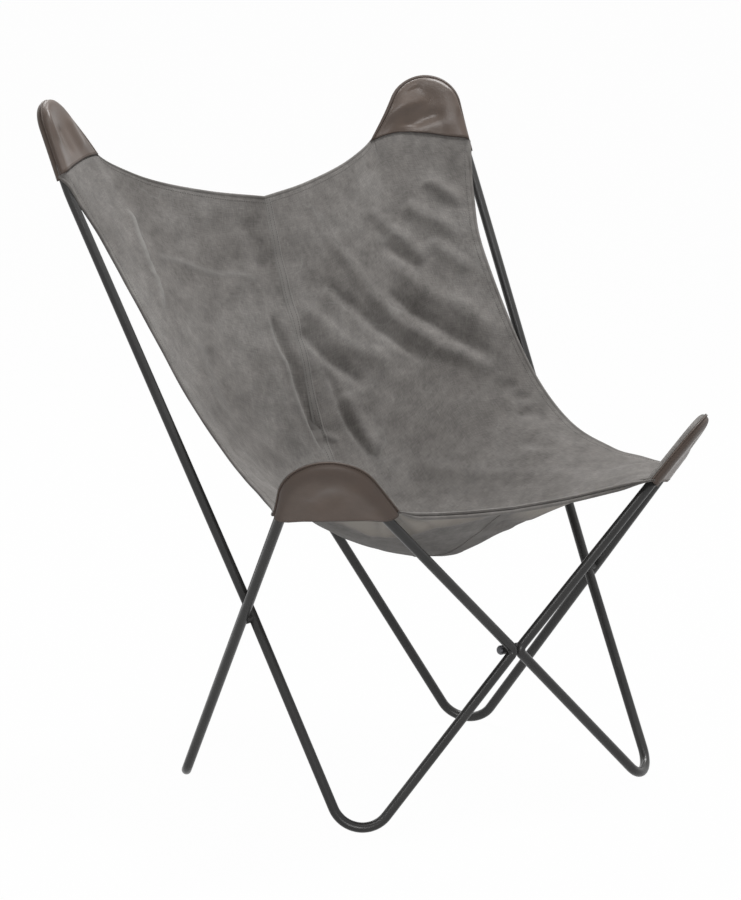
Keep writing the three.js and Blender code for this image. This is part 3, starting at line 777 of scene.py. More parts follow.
class Sling:
    """One half of the sling at rest, drawn as the left half, before its folds."""

    def __init__(self, side):
        self.tip = front_horn.sheet(
            CANVAS_CREST, 1, CANVAS_TIP_SAG, MARGINS["front", side], FRONT_RISE[side],
        )
        self.leather = back_horn.sheet(
            TIP_CREST, 1, LEATHER_TIP_SAG, MARGINS["back", side],
            **SEAMS[side], mouth=TIP_MOUTH, flange=LEATHER / 2,
        )
        drop = back_horn.sitter * LAP_DROP
        self.lap = np.array([back_horn.mouth(self.leather, row) - drop for row in range(LAP_ROWS, 0, -1)])
        back_mouth = back_horn.mouth(self.leather) - drop
        front_mouth = front_horn.mouth(self.tip)
        back_end = self.end(back_mouth, TOP_EDGE, TOP_DIP[side])
        front_end = self.end(front_mouth, FRONT_EDGE)
        self.side = Through([back_mouth[0], *SIDE_EDGE, front_mouth[0]])
        self.centre = Through([back_end[-1], *CENTRE_LINE, front_end[-1]])
        shares = []
        for horn, mouth in ((back_horn, back_mouth), (front_horn, front_mouth)):
            run = (mouth - mouth[0]) @ horn.across
            middle = np.linspace(HORN_SHARE, 1, EDGE_COLUMNS + 1)[1:]
            shares.append(np.r_[HORN_SHARE * run / run[-1], middle])
        t = np.linspace(0, 1, SLING_ROWS + 1)
        self.t = t
        self.share = shares[0] + (shares[1] - shares[0]) * t[:, None]
        self.grid = self.section(self.share, t)
        for end, row, share, way in ((back_end, 0, shares[0], t), (front_end, -1, shares[1], 1 - t)):
            whole = end - self.section(self.share, t)[row]
            coarse = soften(whole, share, COARSE_BLUR)
            detail = soften(whole, share, DETAIL_BLUR)
            run = way * self.side.length
            for part, fade in (
                (coarse, (1 - way) ** 3),
                (detail - coarse, np.exp(-(run / DETAIL_REACH) ** 2)),
                (whole - detail, np.exp(-(run / FINE_REACH) ** 2)),
            ):
                self.grid += part * fade[:, None, None]

    def end(self, mouth, edge_points, dip=0):
        """A whole end: the horn's mouth, then the free edge to the middle."""
        line = Through([mouth[-1], *edge_points]).at(np.linspace(0, 1, EDGE_COLUMNS + 1)[1:])
        x = np.linalg.norm(line - mouth[-1], axis=1) / DIP_REACH
        return np.vstack([mouth, line - back_horn.up * (dip * x * np.exp(1 - x))[:, None]])

    def section(self, share, t):
        """The plain sheet between the side edge and the middle line."""
        side = self.side.at(t)[:, None, :]
        centre = self.centre.at(t)[:, None, :]
        sag = (1 - (1 - share) ** SAG_POWER)[:, :, None]
        out = side + (centre - side) * sag
        out[:, :, 0] = side[:, :, 0] * (1 - share)
        return out


def grid_normals(grid):
    """Unit normals of a grid of points, towards the sitter."""
    along = np.gradient(grid, axis=0)
    across = np.gradient(grid, axis=1)
    normal = np.cross(along, across)
    normal[:, -1, 0] = 0
    return normal / np.linalg.norm(normal, axis=2)[:, :, None]


# Folds

# Folds of the sling: the half that they lie on, half width and height in mm, power of the
# cross-section, how pale the crease is, and the line as shares across, 0 at the side and 1 at
# the middle, and along, 0 at the top and 1 at the front.
FOLDS = [
    ("right", 11, 4.4, 2, 0.1, [(0.28, 0.12), (0.23, 0.153), (0.16, 0.18), (0.11, 0.207), (0.06, 0.24)]),
    ("right", 11, 4.4, 2, 0.1, [(0.46, 0.093), (0.41, 0.133), (0.35, 0.167), (0.31, 0.193), (0.22, 0.253)]),
    ("right", 10, 4.2, 2, 0.1, [(0.22, 0.207), (0.16, 0.24), (0.11, 0.273), (0.06, 0.307)]),
    ("right", 16, 6, 2, 0, [
        (0.42, 0.193), (0.36, 0.24), (0.31, 0.28), (0.18, 0.353), (0.09, 0.433), (0.05, 0.487),
    ]),
    ("right", 12, 5.5, 2, 0.1, [
        (0.77, 0.08), (0.70, 0.113), (0.64, 0.153), (0.60, 0.187), (0.55, 0.233), (0.49, 0.267),
        (0.44, 0.307), (0.36, 0.353), (0.30, 0.393), (0.22, 0.44), (0.15, 0.493), (0.09, 0.547),
    ]),
    ("right", 15, 5.5, 2, 0, [
        (0.97, 0.19), (0.86, 0.227), (0.78, 0.267), (0.70, 0.30), (0.59, 0.333), (0.51, 0.373),
    ]),
    ("right", 9, 6, 2, 0, [(0.19, 0.09), (0.09, 0.133), (0.05, 0.16)]),
    ("right", 12, 5, 2, 0, [(0.81, 0.353), (0.78, 0.40), (0.75, 0.447), (0.73, 0.487)]),
    ("right", 9, -4.8, 2, 0, [
        (0.46, 0.233), (0.41, 0.28), (0.35, 0.32), (0.27, 0.367), (0.20, 0.42), (0.13, 0.48), (0.08, 0.533),
    ]),
    ("right", 10, -4.8, 2, 0, [
        (0.77, 0.16), (0.73, 0.193), (0.66, 0.227), (0.62, 0.253),
        (0.56, 0.287), (0.49, 0.32), (0.36, 0.413),
    ]),
    ("right", 8, -3, 2, 0, [(0.42, 0.167), (0.37, 0.20), (0.32, 0.227), (0.27, 0.253)]),
    ("right", 10, -5, 2, 0, [(0.97, 0.227), (0.92, 0.26), (0.85, 0.293), (0.75, 0.333), (0.67, 0.373)]),
    ("right", 7, -4.5, 2, 0, [
        (0.87, 0.30), (0.86, 0.327), (0.85, 0.373), (0.82, 0.413), (0.79, 0.453), (0.77, 0.493),
    ]),
    ("right", 6, -3, 2, 0, [(0.08, 0.567), (0.13, 0.56), (0.16, 0.52)]),
    ("right", 5, -3, 2, 0, [(0.05, 0.627), (0.09, 0.607), (0.13, 0.58)]),
    ("right", 6, -3.5, 2, 0, [(0.06, 0.68), (0.09, 0.653), (0.15, 0.613)]),
    ("right", 6, -3, 2, 0, [(0.13, 0.753), (0.16, 0.72), (0.22, 0.667)]),
    ("right", 5, 2.5, 2, 0.2, [(0.99, 0.407), (0.96, 0.413), (0.90, 0.427)]),
    ("right", 14, 2.5, 2, 0, [(0.62, 0.52), (0.45, 0.62), (0.30, 0.74), (0.22, 0.86)]),
    ("left", 4.5, 6.5, 1.2, 0.9, [
        (0.37, 0.08), (0.35, 0.113), (0.31, 0.16), (0.29, 0.207), (0.27, 0.247), (0.22, 0.30),
    ]),
    ("left", 3, 0.9, 2, 0.45, [(0.38, 0.16), (0.53, 0.147), (0.68, 0.147), (0.81, 0.14), (0.90, 0.153)]),
    ("left", 10, 3, 2, 0.1, [(0.44, 0.30), (0.39, 0.367), (0.37, 0.42), (0.40, 0.453), (0.40, 0.50)]),
    ("left", 12, -3, 2, 0, [(0.49, 0.30), (0.48, 0.353), (0.49, 0.40), (0.53, 0.433)]),
    ("left", 16, 3, 2, 0, [
        (0.88, 0.033), (0.85, 0.107), (0.79, 0.187), (0.77, 0.26), (0.74, 0.353), (0.77, 0.42),
    ]),
    ("left", 14, -4, 2, 0, [
        (0.88, 0.04), (0.91, 0.08), (0.93, 0.113), (0.95, 0.153), (0.96, 0.193), (0.96, 0.23),
    ]),
    ("left", 4, 4, 1.3, 0.5, [
        (0.88, 0.20), (0.89, 0.247), (0.90, 0.267), (0.92, 0.287),
        (0.93, 0.333), (0.95, 0.38), (0.97, 0.407), (0.985, 0.46),
    ]),
    ("left", 8.5, -7.5, 2, 0, [
        (0.905, 0.20), (0.915, 0.247), (0.925, 0.267), (0.945, 0.287),
        (0.955, 0.333), (0.975, 0.38), (0.99, 0.407), (1, 0.45),
    ]),
    ("left", 16, 4, 2, 0, [(0.79, 0.24), (0.82, 0.30), (0.84, 0.36), (0.86, 0.42), (0.88, 0.47)]),
    ("left", 12, -5.5, 1.3, 0.1, [
        (0.44, 0.81), (0.56, 0.88), (0.62, 0.925), (0.70, 0.96), (0.82, 0.978), (0.99, 0.985),
    ]),
    ("right", 30, -5.5, 2, 0, [(1, 0.72), (0.98, 0.79), (0.95, 0.83), (0.92, 0.86), (0.90, 0.885)]),
    ("right", 9, 4, 2, 0, [(0.99, 0.95), (0.90, 0.925), (0.78, 0.90), (0.66, 0.85)]),
    ("left", 14, -2.4, 2, 0, [(0.28, 0.44), (0.25, 0.54), (0.26, 0.66), (0.20, 0.80)]),
]
# Gathers at the front horns, as the folds, and highest at the horn.
GATHERS = [
    ("left", 5, 4.0, 1.5, 0.2, [(0.06, 0.995), (0.13, 0.90), (0.23, 0.80), (0.36, 0.72)]),
    ("left", 5, 4.0, 1.5, 0.2, [(0.16, 0.995), (0.25, 0.90), (0.37, 0.81), (0.52, 0.75)]),
    ("left", 4.5, 4.6, 1.4, 0.3, [(0.24, 0.995), (0.34, 0.93), (0.48, 0.86), (0.64, 0.80)]),
    ("left", 4.5, 4.6, 1.4, 0.3, [(0.29, 0.995), (0.39, 0.94), (0.53, 0.88), (0.72, 0.83)]),
    ("left", 4.5, 4.6, 1.4, 0.3, [(0.335, 0.995), (0.44, 0.955), (0.60, 0.91), (0.80, 0.87)]),
    ("left", 4, 3.4, 1.4, 0.2, [(0.36, 0.995), (0.48, 0.97), (0.66, 0.945), (0.84, 0.92)]),
    ("right", 6, 2.4, 1.6, 0, [(0.10, 0.995), (0.18, 0.90), (0.30, 0.80)]),
    ("right", 6, 2.6, 1.6, 0, [(0.20, 0.995), (0.30, 0.90), (0.44, 0.82)]),
    ("right", 5, 2.6, 1.5, 0.1, [(0.29, 0.995), (0.42, 0.93), (0.60, 0.87)]),
    ("right", 5, 2.4, 1.5, 0.1, [(0.345, 0.995), (0.48, 0.96), (0.68, 0.92)]),
]
# Where the underside is painted pale, as painted light on its face lit from the front: between a line
# on the belly, as shares across and along, and the front edge. It is less pale on the gathers.
PAINTED_LIGHT_FROM = {
    "left": (
        (0, 0.3, 0.44, 0.56, 0.62, 0.70, 0.82, 1),
        (0.76, 0.77, 0.805, 0.88, 0.925, 0.96, 0.978, 0.987),
    ),
    "right": ((0, 0.6, 0.8, 0.9, 1), (0.86, 0.90, 0.925, 0.955, 0.987)),
}
PAINTED_LIGHT_BORDER = (-0.02, 0.03)
PAINTED_LIGHT_MOST = 0.8
PAINTED_LIGHT_LOSS = 0.9
# Ripples: height and length in mm, turn in radians and phase. Their crests swing to the side.
RIPPLES = [(0.8, 95, 0.55, 0.4), (0.6, 62, 1.25, 2.2), (0.7, 140, 2.4, 1.1)]
SWING_ACROSS = (18, 47)
SWING_ALONG = (14, 61)
CREASE_WIDTH = 3.3
FOLD_STEPS = 90
# Where the folds fade out, in shares: at their own ends, at the side edge, the top and the front.
FOLD_ENDS = (0.12, 0.78)
GATHER_HOLD = 0.05
SIDE_LEAST = 0.2
SIDE_FADE = 0.12
TOP_FADE = 0.06
FRONT_FADE = 0.025


def sling_point(sling, share, t):
    """A point of the sling from its shares across and along."""
    row = t * SLING_ROWS
    i = int(min(row, SLING_ROWS - 1))
    before, after = (points_at(share, sling.share[k], sling.grid[k]) for k in (i, i + 1))
    return before + (after - before) * (row - i)


def run_lengths(grid, axis):
    """Lengths along the rows or columns of a grid, from its first point."""
    steps = np.linalg.norm(np.diff(grid, axis=axis), axis=2)
    return np.insert(np.cumsum(steps, axis=axis), 0, 0, axis=axis)


def fold_lines(halves):
    """The folds as lines of points in the chair's frame."""
    share = np.linspace(0, 1, FOLD_STEPS)
    ends = smoothstep(share, 0, FOLD_ENDS[0]) * (1 - smoothstep(share, FOLD_ENDS[1], 1))
    from_horn = 1 - smoothstep(share, GATHER_HOLD, 1)
    found = []
    for folds, fade in ((FOLDS, ends), (GATHERS, from_horn)):
        for side, width, height, power, mark, line in folds:
            path = Through([sling_point(halves[side], u, t) for u, t in line])
            points = path.at(share) * (FLIP if side == "right" else 1)
            found.append((points, fade, width, height, power, mark, folds is GATHERS))
    return found


def lay_folds(sling, side, lines):
    """Lays the folds and ripples on a half of the sling, and marks its pale creases."""
    shape = sling.share.shape
    flat = sling.grid.reshape(-1, 3) * (FLIP if side == "right" else 1)
    lift = np.zeros(shape)
    pale = np.zeros(shape)
    pleats = np.zeros(shape)
    for points, ends, width, height, power, mark, gathered in lines:
        gaps = np.linalg.norm(flat[:, None, :] - points[None, :, :], axis=2)
        away = gaps.min(1).reshape(shape)
        fade = ends[gaps.argmin(1)].reshape(shape)
        rise = fade * np.exp(-(away / width) ** power)
        lift += height * rise
        if gathered:
            pleats = np.maximum(pleats, rise)
        pale = np.maximum(pale, mark * fade * np.exp(-(away / CREASE_WIDTH) ** 2))
    across = run_lengths(sling.grid[:, ::-1], 1)[:, ::-1]
    along = run_lengths(sling.grid, 0)
    aside = across if side == "right" else -across
    for height, wave, turn, phase in RIPPLES:
        place = aside * math.cos(turn) + along * math.sin(turn)
        place += SWING_ACROSS[0] * np.sin(aside / SWING_ACROSS[1] + phase)
        place += SWING_ALONG[0] * np.sin(along / SWING_ALONG[1] + 2 * phase)
        lift += height * np.sin(2 * math.pi * place / wave + phase)
    t = sling.t[:, None]
    border = SIDE_LEAST + (1 - SIDE_LEAST) * smoothstep(sling.share, 0, SIDE_FADE)
    border *= smoothstep(t, 0, TOP_FADE) * smoothstep(1 - t, 0, FRONT_FADE)
    sling.grid = sling.grid + grid_normals(sling.grid) * (lift * border)[:, :, None]
    sling.pale = pale
    # Painted light on the underside's lit face, weaker on the gathers.
    line = np.interp(sling.share, *PAINTED_LIGHT_FROM[side])
    sling.painted_light = PAINTED_LIGHT_MOST * smoothstep(t - line, *PAINTED_LIGHT_BORDER) * (1 - PAINTED_LIGHT_LOSS * pleats)
    sling.across = across
    sling.along = along


# The least distance from a rod's centre line, the width of the tent over a rod, and the distances
# from the horns over which it sets in.
REST_GAP = 0.25
CLEARANCE = ROD_RADIUS + CANVAS / 2 + REST_GAP
FAR_BELOW = -2 * CLEARANCE
TENT = 2.2 * CLEARANCE
TENT_REACH = 2.5 * TENT
HORN_FREE = (5, 60)
ROD_SPACING = 3.0
TENT_ROUNDS = 3


def rod_tree():
    """The rods' centre lines as closely spaced points with tangents, in a search tree."""
    points = []
    tangents = []
    for path in (seat_path, back_path):
        line = np.vstack([p for p, _ in path])
        run = run_along(line)
        spots = points_at(np.arange(0, run[-1], ROD_SPACING), run, line)
        points.append(spots)
        tangents.append(np.gradient(spots, axis=0))
    points = np.vstack(points)
    tangents = np.vstack(tangents)
    tangents /= np.linalg.norm(tangents, axis=1)[:, None]
    tree = KDTree(len(points))
    for i, p in enumerate(points):
        tree.insert(p, i)
    tree.balance()
    return tree, points, tangents


def clear_rods(sling, rods):
    """Lifts the cloth over the rods behind it, in a soft tent away from the horns."""
    tree, points, tangents = rods
    grid = sling.grid
    rows, columns = grid.shape[:2]
    ends = np.minimum(sling.t, 1 - sling.t) * sling.side.length
    free = smoothstep(ends, *HORN_FREE)
    rise = np.zeros((rows, columns))
    least = np.zeros((rows, columns))
    for i in range(1, rows - 1):
        n0 = back_horn.sitter if sling.t[i] < 0.5 else front_horn.sitter
        for j in range(columns):
            _, k, distance = tree.find(grid[i, j])
            if distance > TENT_REACH:
                continue
            t = tangents[k]
            n = unit(n0 - t * (n0 @ t))
            r = grid[i, j] - points[k]
            r = r - t * (r @ t)
            h = r @ n
            d = np.linalg.norm(r - n * h)
            if h < FAR_BELOW:
                continue
            if d < CLEARANCE:
                least[i, j] = max(math.sqrt(CLEARANCE ** 2 - d * d) - h, 0)
            tent = (CLEARANCE * math.exp(-(d / TENT) ** 2) - h) * free[i]
            rise[i, j] = max(tent, least[i, j], 0)
    for _ in range(TENT_ROUNDS):
        around = np.pad(rise, 1, mode="edge")
        around = (around[:-2, 1:-1] + around[2:, 1:-1] + around[1:-1, :-2] + around[1:-1, 2:]) / 4
        rise = np.maximum((rise + around) / 2, least)
    rise[0] = 0
    rise[-1] = 0
    way = np.where((sling.t < 0.5)[:, None], back_horn.sitter, front_horn.sitter)
    sling.grid = grid + rise[:, :, None] * way[:, None, :]


slings = {side: Sling(side) for side in ("left", "right")}
all_folds = fold_lines(slings)
rods_near = rod_tree()
for half_name, half in slings.items():
    lay_folds(half, half_name, all_folds)
    clear_rods(half, rods_near)


# Canvas panels

def add_uv(piece, coords):
    """Cloth coordinates in metres, one for each vertex."""
    layer = piece.data.uv_layers.new(name="cloth")
    corners = np.zeros(len(piece.data.loops), int)
    piece.data.loops.foreach_get("vertex_index", corners)
    layer.data.foreach_set("uv", (np.asarray(coords)[corners] / MM).astype(np.float32).ravel())


# Where the cloth coordinates of the parts at the horns start.
CLOTH_START = {"back": -150, "front": 1100}


def plane_coords(points, horn):
    """Cloth coordinates of a part that lies flat at a horn."""
    place = points - horn.corner
    return np.stack([place @ horn.across, CLOTH_START[horn.name] - place @ horn.up], axis=1)


def build_canvas():
    """The two panels: the hanging sheet, its lap under the leather tip and its front tip."""
    made = {}
    for side, sling in slings.items():
        rows, columns = sling.grid.shape[:2]
        verts = [*sling.grid.reshape(-1, 3)]
        coords = [*np.stack([sling.across, sling.along], axis=2).reshape(-1, 2)]
        faces = grid_faces(rows, columns)
        across = 2 * SHEET_COLUMNS + 1
        lap_start = len(verts)
        lap = sling.lap.reshape(-1, 3)
        verts += [*lap]
        coords += [*plane_coords(lap, back_horn)]
        faces += [tuple(v + lap_start for v in f) for f in grid_faces(LAP_ROWS, across)]
        above = lap_start + (LAP_ROWS - 1) * across
        for j in range(across - 1):
            faces.append((above + j, j, j + 1, above + j + 1))
        tip_verts, tip_faces, tip_index = sheet_mesh(sling.tip)
        last = (rows - 1) * columns
        welded = {}
        for k in range(SHEET_COLUMNS + 1):
            welded[int(tip_index[0, k])] = last + k
            welded[int(tip_index[-1, k])] = last + 2 * SHEET_COLUMNS - k
        for i, p in enumerate(tip_verts):
            if i not in welded:
                welded[i] = len(verts)
                verts.append(p)
                coords += [*plane_coords(p[None], front_horn)]
        faces += [tuple(welded[v] for v in reversed(f)) for f in tip_faces]
        name = f"{side}_canvas_panel"
        cloth = f"{name}_cloth"
        piece = make_piece(cloth, verts, faces, canvas, "canvas", [name], mirrored=side == "right")
        add_uv(piece, coords)
        # Pale creases, and painted light on the underside.
        for mark, values in (("crease", sling.pale), ("painted_light", sling.painted_light)):
            add_float(piece, mark, np.r_[values.ravel(), np.zeros(len(verts) - values.size)])
        piece.data.materials.append(canvas_under)
        solidify(piece, CANVAS).material_offset = 1
        made[side] = piece
    return made


# Hems, the middle seam and stitching

HEM_STITCH = 8.0
# Profiles of the rolled hems: distances inside the edge and heights above the cloth.
HEM_PROFILE = [
    (11, -0.65), (11, -1.9), (1.6, -2.6), (-1.2, -2.3), (-2.2, -0.6),
    (-1.7, 1.0), (-0.2, 1.7), (1.4, 1.5), (2.8, 0.65),
]
FRONT_HEM_PROFILE = [
    (12, -0.7), (12, -2.2), (2.4, -7.0), (-0.4, -7.0), (-1.4, -5.2), (-1.2, -3.4), (0.8, -2.5),
    (0.8, -1.7), (-1.6, -1.3), (-2.5, 0), (-1.8, 1.3), (-0.2, 1.9), (1.4, 1.6), (2.8, 0.65),
]


def sweep(rails):
    """A closed strip through rails, each a line of points, joined side by side."""
    count = len(rails[0])
    starts = [k * count for k in range(len(rails))]
    faces = []
    for a, b in zip(starts, starts[1:] + starts[:1]):
        for i in range(count - 1):
            faces.append((a + i, a + i + 1, b + i + 1, b + i))
    faces.append(tuple(reversed(starts)))
    faces.append(tuple(a + count - 1 for a in starts))
    return np.vstack(rails), faces


def join(parts):
    """Several meshes as one."""
    verts = []
    faces = []
    shift = 0
    for v, f in parts:
        verts.append(v)
        faces += [tuple(i + shift for i in loop) for loop in f]
        shift += len(v)
    return np.vstack(verts), faces


HEM_REACH = 24
# The front hem thins over a run beside the horn and is tucked into the pocket.
HEM_TUCK = 6.0
HEM_THIN_RUN = 45
HEM_THINNEST = 0.3


def free_edges(sling):
    """The three free edges of a half: for each place on an edge, points and normals going inwards."""
    both = (sling.grid, grid_normals(sling.grid))
    first = 2 * SHEET_COLUMNS
    top = [a[:HEM_REACH, first:].swapaxes(0, 1) for a in both]
    side = [a[:, :HEM_REACH] for a in both]
    front = [a[:-HEM_REACH:-1, first:].swapaxes(0, 1) for a in both]
    return top, side, front


def inside_edge(points, normals, distance, height):
    """A line at a distance inside an edge and a height above the cloth, with its normals."""
    line = []
    ups = []
    distances = np.broadcast_to(distance, len(points))
    heights = np.broadcast_to(height, len(points))
    for row, normal, inward, rise in zip(points, normals, distances, heights):
        run = run_along(row)
        place = max(inward, 0)
        spot = points_at(place, run, row)
        up = unit(points_at(place, run, normal))
        if inward < 0:
            spot = spot + unit(row[1] - row[0]) * inward
        line.append(spot + up * rise)
        ups.append(up)
    return np.array(line), np.array(ups)


def front_hem_rails(points, normals):
    """Rails of the front hem, which thins into the pocket at the horn."""
    run = run_along(points[:, 0])
    thin = HEM_THINNEST + (1 - HEM_THINNEST) * smoothstep(run, 0, HEM_THIN_RUN)
    rails = []
    for v, n in FRONT_HEM_PROFILE:
        rail = inside_edge(points, normals, v * (thin if v < 0 else 1), n * thin)[0]
        rails.append(np.vstack([rail[0] + unit(rail[0] - rail[1]) * HEM_TUCK, rail]))
    return rails


STITCH_SIDES = 5
STITCH_PITCH = 3.4
STITCH_LENGTH = 2.5
STITCH_RADIUS = 0.42
# How far before and after a stitch its direction is read.
STITCH_LOOK = 0.5
# A stitch along its length: shares of its length and radius, and lifts in mm.
STITCH_LOOP = [(-0.5, 0.25, -0.3), (-0.3, 0.9, 0.0), (0.0, 1.0, 0.12), (0.3, 0.9, 0.0), (0.5, 0.25, -0.3)]


def stitches(line, normal):
    """Short thread loops in a row on a line of points."""
    run = run_along(line)
    places = np.arange(STITCH_PITCH / 2, run[-1], STITCH_PITCH)
    spots = points_at(places, run, line)
    ups = points_at(places, run, normal)
    ways = points_at(places + STITCH_LOOK, run, line) - points_at(places - STITCH_LOOK, run, line)
    parts = []
    for spot, up, way in zip(spots, ups, ways):
        along = unit(way)
        up = unit(up - along * (up @ along))
        over = np.cross(along, up)
        rings = []
        for s, w, lift in STITCH_LOOP:
            centre = spot + along * (STITCH_LENGTH * s) + up * lift
            rings.append(circle(centre, STITCH_RADIUS * w, up, over, STITCH_SIDES))
        parts.append(skin(rings))
    return join(parts)


def build_hems():
    """The rolled hems of the free edges and their stitching."""
    made = {}
    for side, sling in slings.items():
        edges = free_edges(sling)
        cloth = [sweep(front_hem_rails(*edges[2]))]
        for edge in edges[:2]:
            cloth.append(sweep([inside_edge(*edge, v, n)[0] for v, n in HEM_PROFILE]))
        thread = [stitches(*inside_edge(*edge, HEM_STITCH, CANVAS / 2)) for edge in edges]
        made[side] = [
            make_piece(f"{side}_{kind}", *join(parts), paint, "canvas", mirrored=side == "right")
            for kind, parts, paint in (("hem", cloth, canvas), ("hem_stitching", thread, grey_thread))
        ]
    return made


# The middle seam: distances from the middle and heights above or below the cloth.
SEAM_FOLD_PROFILE = [(-1.8, -0.3), (-1.2, 0.1), (0.5, 0.4), (9.0, 0.4), (10.6, 0.15), (11.4, -0.3)]
SEAM_FOLD_PALE = [0, 0.35, 0.3, 0.15, 0.35, 0]
SEAM_STRIP_PROFILE = [(9, 0.0), (9, -0.9), (0, -1.1), (-9, -0.9), (-9, 0.0)]
SEAM_STITCHES = (1.8, 8.2)
SEAM_STITCH_HEIGHT = 0.4
# Nearer to the middle than this, the normals lean less to the side.
SEAM_TURN = 20


def seam_line(sling, distance, height):
    """A line on a half of the sling, a distance from the middle and a height above it."""
    normals = grid_normals(sling.grid)
    points = []
    ups = []
    for i in range(len(sling.t)):
        run = sling.across[i][::-1]
        points.append(points_at(distance, run, sling.grid[i, ::-1]))
        ups.append(points_at(distance, run, normals[i, ::-1]))
    ups = np.array(ups)
    ups[:, 0] *= min(1.0, distance / SEAM_TURN)
    ups /= np.linalg.norm(ups, axis=1)[:, None]
    return np.array(points) + ups * height, ups


def build_seam():
    """The felled middle seam, the strip under it and its two rows of stitches."""
    top = CANVAS / 2
    rails = []
    for distance, height in SEAM_FOLD_PROFILE:
        line, _ = seam_line(slings["right"], max(distance, 0), top + height)
        line = line * FLIP
        line[:, 0] += min(distance, 0)
        rails.append(line)
    felled = make_piece("centre_seam_fold", *sweep(rails), canvas, "canvas")
    add_float(felled, "crease", np.repeat(SEAM_FOLD_PALE, len(rails[0])))
    rails = []
    for distance, height in SEAM_STRIP_PROFILE:
        half = slings["left" if distance < 0 else "right"]
        line, _ = seam_line(half, abs(distance), -top + height)
        rails.append(line if distance < 0 else line * FLIP)
    strip = make_piece("centre_seam_strip_cloth", *sweep(rails), canvas, "canvas", ["centre_seam_strip"])
    parts = []
    for distance in SEAM_STITCHES:
        line, ups = seam_line(slings["right"], distance, top + SEAM_STITCH_HEIGHT)
        parts.append(stitches(line * FLIP, ups * FLIP))
    rows = make_piece("centre_seam_stitching", *join(parts), grey_thread, "canvas")
    return [felled, strip, rows]


# Leather

# Wrinkles of the leather: half width and height in mm, and the line as shares across, 0 at the
# outer leg and 1 at the inner, and up, 0 at the mouth and 1 at the top of the horn.
WRINKLES = {
    "back_left_tip": [
        (5, 2.2, [(0.30, 0.92), (0.22, 0.75), (0.20, 0.50), (0.26, 0.30)]),
        (9, -2.4, [(0.42, 0.66), (0.42, 0.42), (0.46, 0.16)]),
        (9, 2.2, [(0.66, 0.72), (0.68, 0.45), (0.74, 0.20)]),
    ],
    "back_right_tip": [
        (8, 3.2, [(1.02, 0.04), (0.86, 0.28), (0.70, 0.44), (0.52, 0.55), (0.36, 0.60)]),
        (9, -2.6, [(0.72, 0.04), (0.56, 0.22), (0.40, 0.34), (0.24, 0.40)]),
        (7, -2.4, [(0.92, 0.42), (0.80, 0.62), (0.62, 0.76), (0.44, 0.80)]),
        (6, 2.2, [(0.24, 0.86), (0.13, 0.64), (0.08, 0.36)]),
        (12, 1.0, [(0.12, 0.16), (0.34, 0.22), (0.58, 0.12)]),
    ],
    "front_left_pocket": [
        (8, 2.0, [(0.84, 0.18), (0.76, 0.42), (0.64, 0.64)]),
        (6, -2.6, [(0.99, 0.10), (0.90, 0.34), (0.78, 0.58)]),
        (9, 1.6, [(0.24, 0.30), (0.38, 0.58), (0.54, 0.72)]),
        (12, -1.6, [(0.30, 0.16), (0.50, 0.40), (0.62, 0.46)]),
    ],
    "front_right_pocket": [
        (24, 6.5, [(0.40, -0.7), (0.40, 0.0), (0.42, 0.25), (0.47, 0.7)]),
        (5, 1.2, [(0.2, 0.1), (0.25, 0.4)]),
        (5, -1.8, [(0.8, 0.05), (0.7, 0.5)]),
    ],
    "back_left_pocket": [(6, 1.2, [(0.3, 0.2), (0.45, 0.6)]), (6, -1.2, [(0.7, 0.15), (0.58, 0.55)])],
    "back_right_pocket": [(6, 1.2, [(0.35, 0.15), (0.5, 0.6)]), (6, -1.2, [(0.75, 0.2), (0.6, 0.6)])],
}


WRINKLE_STEPS = 40
WRINKLE_ENDS = (0.25, 0.75)
# Wrinkles fade out over these many columns beside the border and rows beside the mouth.
BORDER_COLUMNS = 5
MOUTH_ROWS = 4
# The deepest dents, which keep clear of the rod, and how much deeper they go between the legs.
DENT_ON_ROD = 1.0
DENT_BETWEEN = 2.4
DENT_COLUMNS = 3


def wrinkle(grid, horn, lines, side):
    """Lays wrinkles on a horn's sheet, away from its sewn border."""
    start = grid[0, 0]
    wide = (grid[-1, 0] - start) @ horn.across
    tall = ((grid - start) @ horn.up).max()
    flat = np.stack([(grid - start) @ horn.across, (grid - start) @ horn.up], axis=2)
    lift = np.zeros(grid.shape[:2])
    for width, height, line in lines:
        path = Through([(a * wide, b * tall, 0) for a, b in line])
        share = np.linspace(0, 1, WRINKLE_STEPS)
        points = path.at(share)[:, :2]
        gaps = np.linalg.norm(flat[:, :, None, :] - points, axis=3)
        ends = smoothstep(share, 0, WRINKLE_ENDS[0]) * (1 - smoothstep(share, WRINKLE_ENDS[1], 1))
        lift += height * ends[gaps.argmin(2)] * np.exp(-(gaps.min(2) / width) ** 2)
    column = np.arange(grid.shape[1])
    lift *= smoothstep(column, WELT_STEPS, WELT_STEPS + BORDER_COLUMNS)
    crest = WELT_STEPS + PILLOW_STEPS
    row = np.arange(grid.shape[0])
    inside = smoothstep(np.minimum(row, row[::-1]), LAP_ROWS, LAP_ROWS + MOUTH_ROWS)[:, None]
    deepest = (DENT_ON_ROD + DENT_BETWEEN * smoothstep(column, crest, crest + DENT_COLUMNS)) * inside
    return grid + horn.sitter * (side * np.maximum(lift, -deepest))[:, :, None]


POCKET_SAG = {"back": 3.0, "front": 2.5}
FRONT_FLANGE = (CANVAS + LEATHER) / 2 - FLANGE
# Painted shade on the leather: how dark it is beside the rod, where its bulge is in shade, over which
# columns that fades, along the sewn edge from the rim inwards, where the welt is in shade, and at the
# mouth, a painted shadow.
ROD_SHADE = {"back": 0.25, "front": 0.5}
SHADE_FADE = (WELT_STEPS + 6, WELT_STEPS + PILLOW_STEPS + 3)
EDGE_SHADES = (0.4, 0.7, 1.0, 0.6)
MOUTH_SHADE = 0.7
# The column that carries the edge's stitches, and the first one inside the edge.
STITCH_COLUMN = 2
MOUTH_START = 3


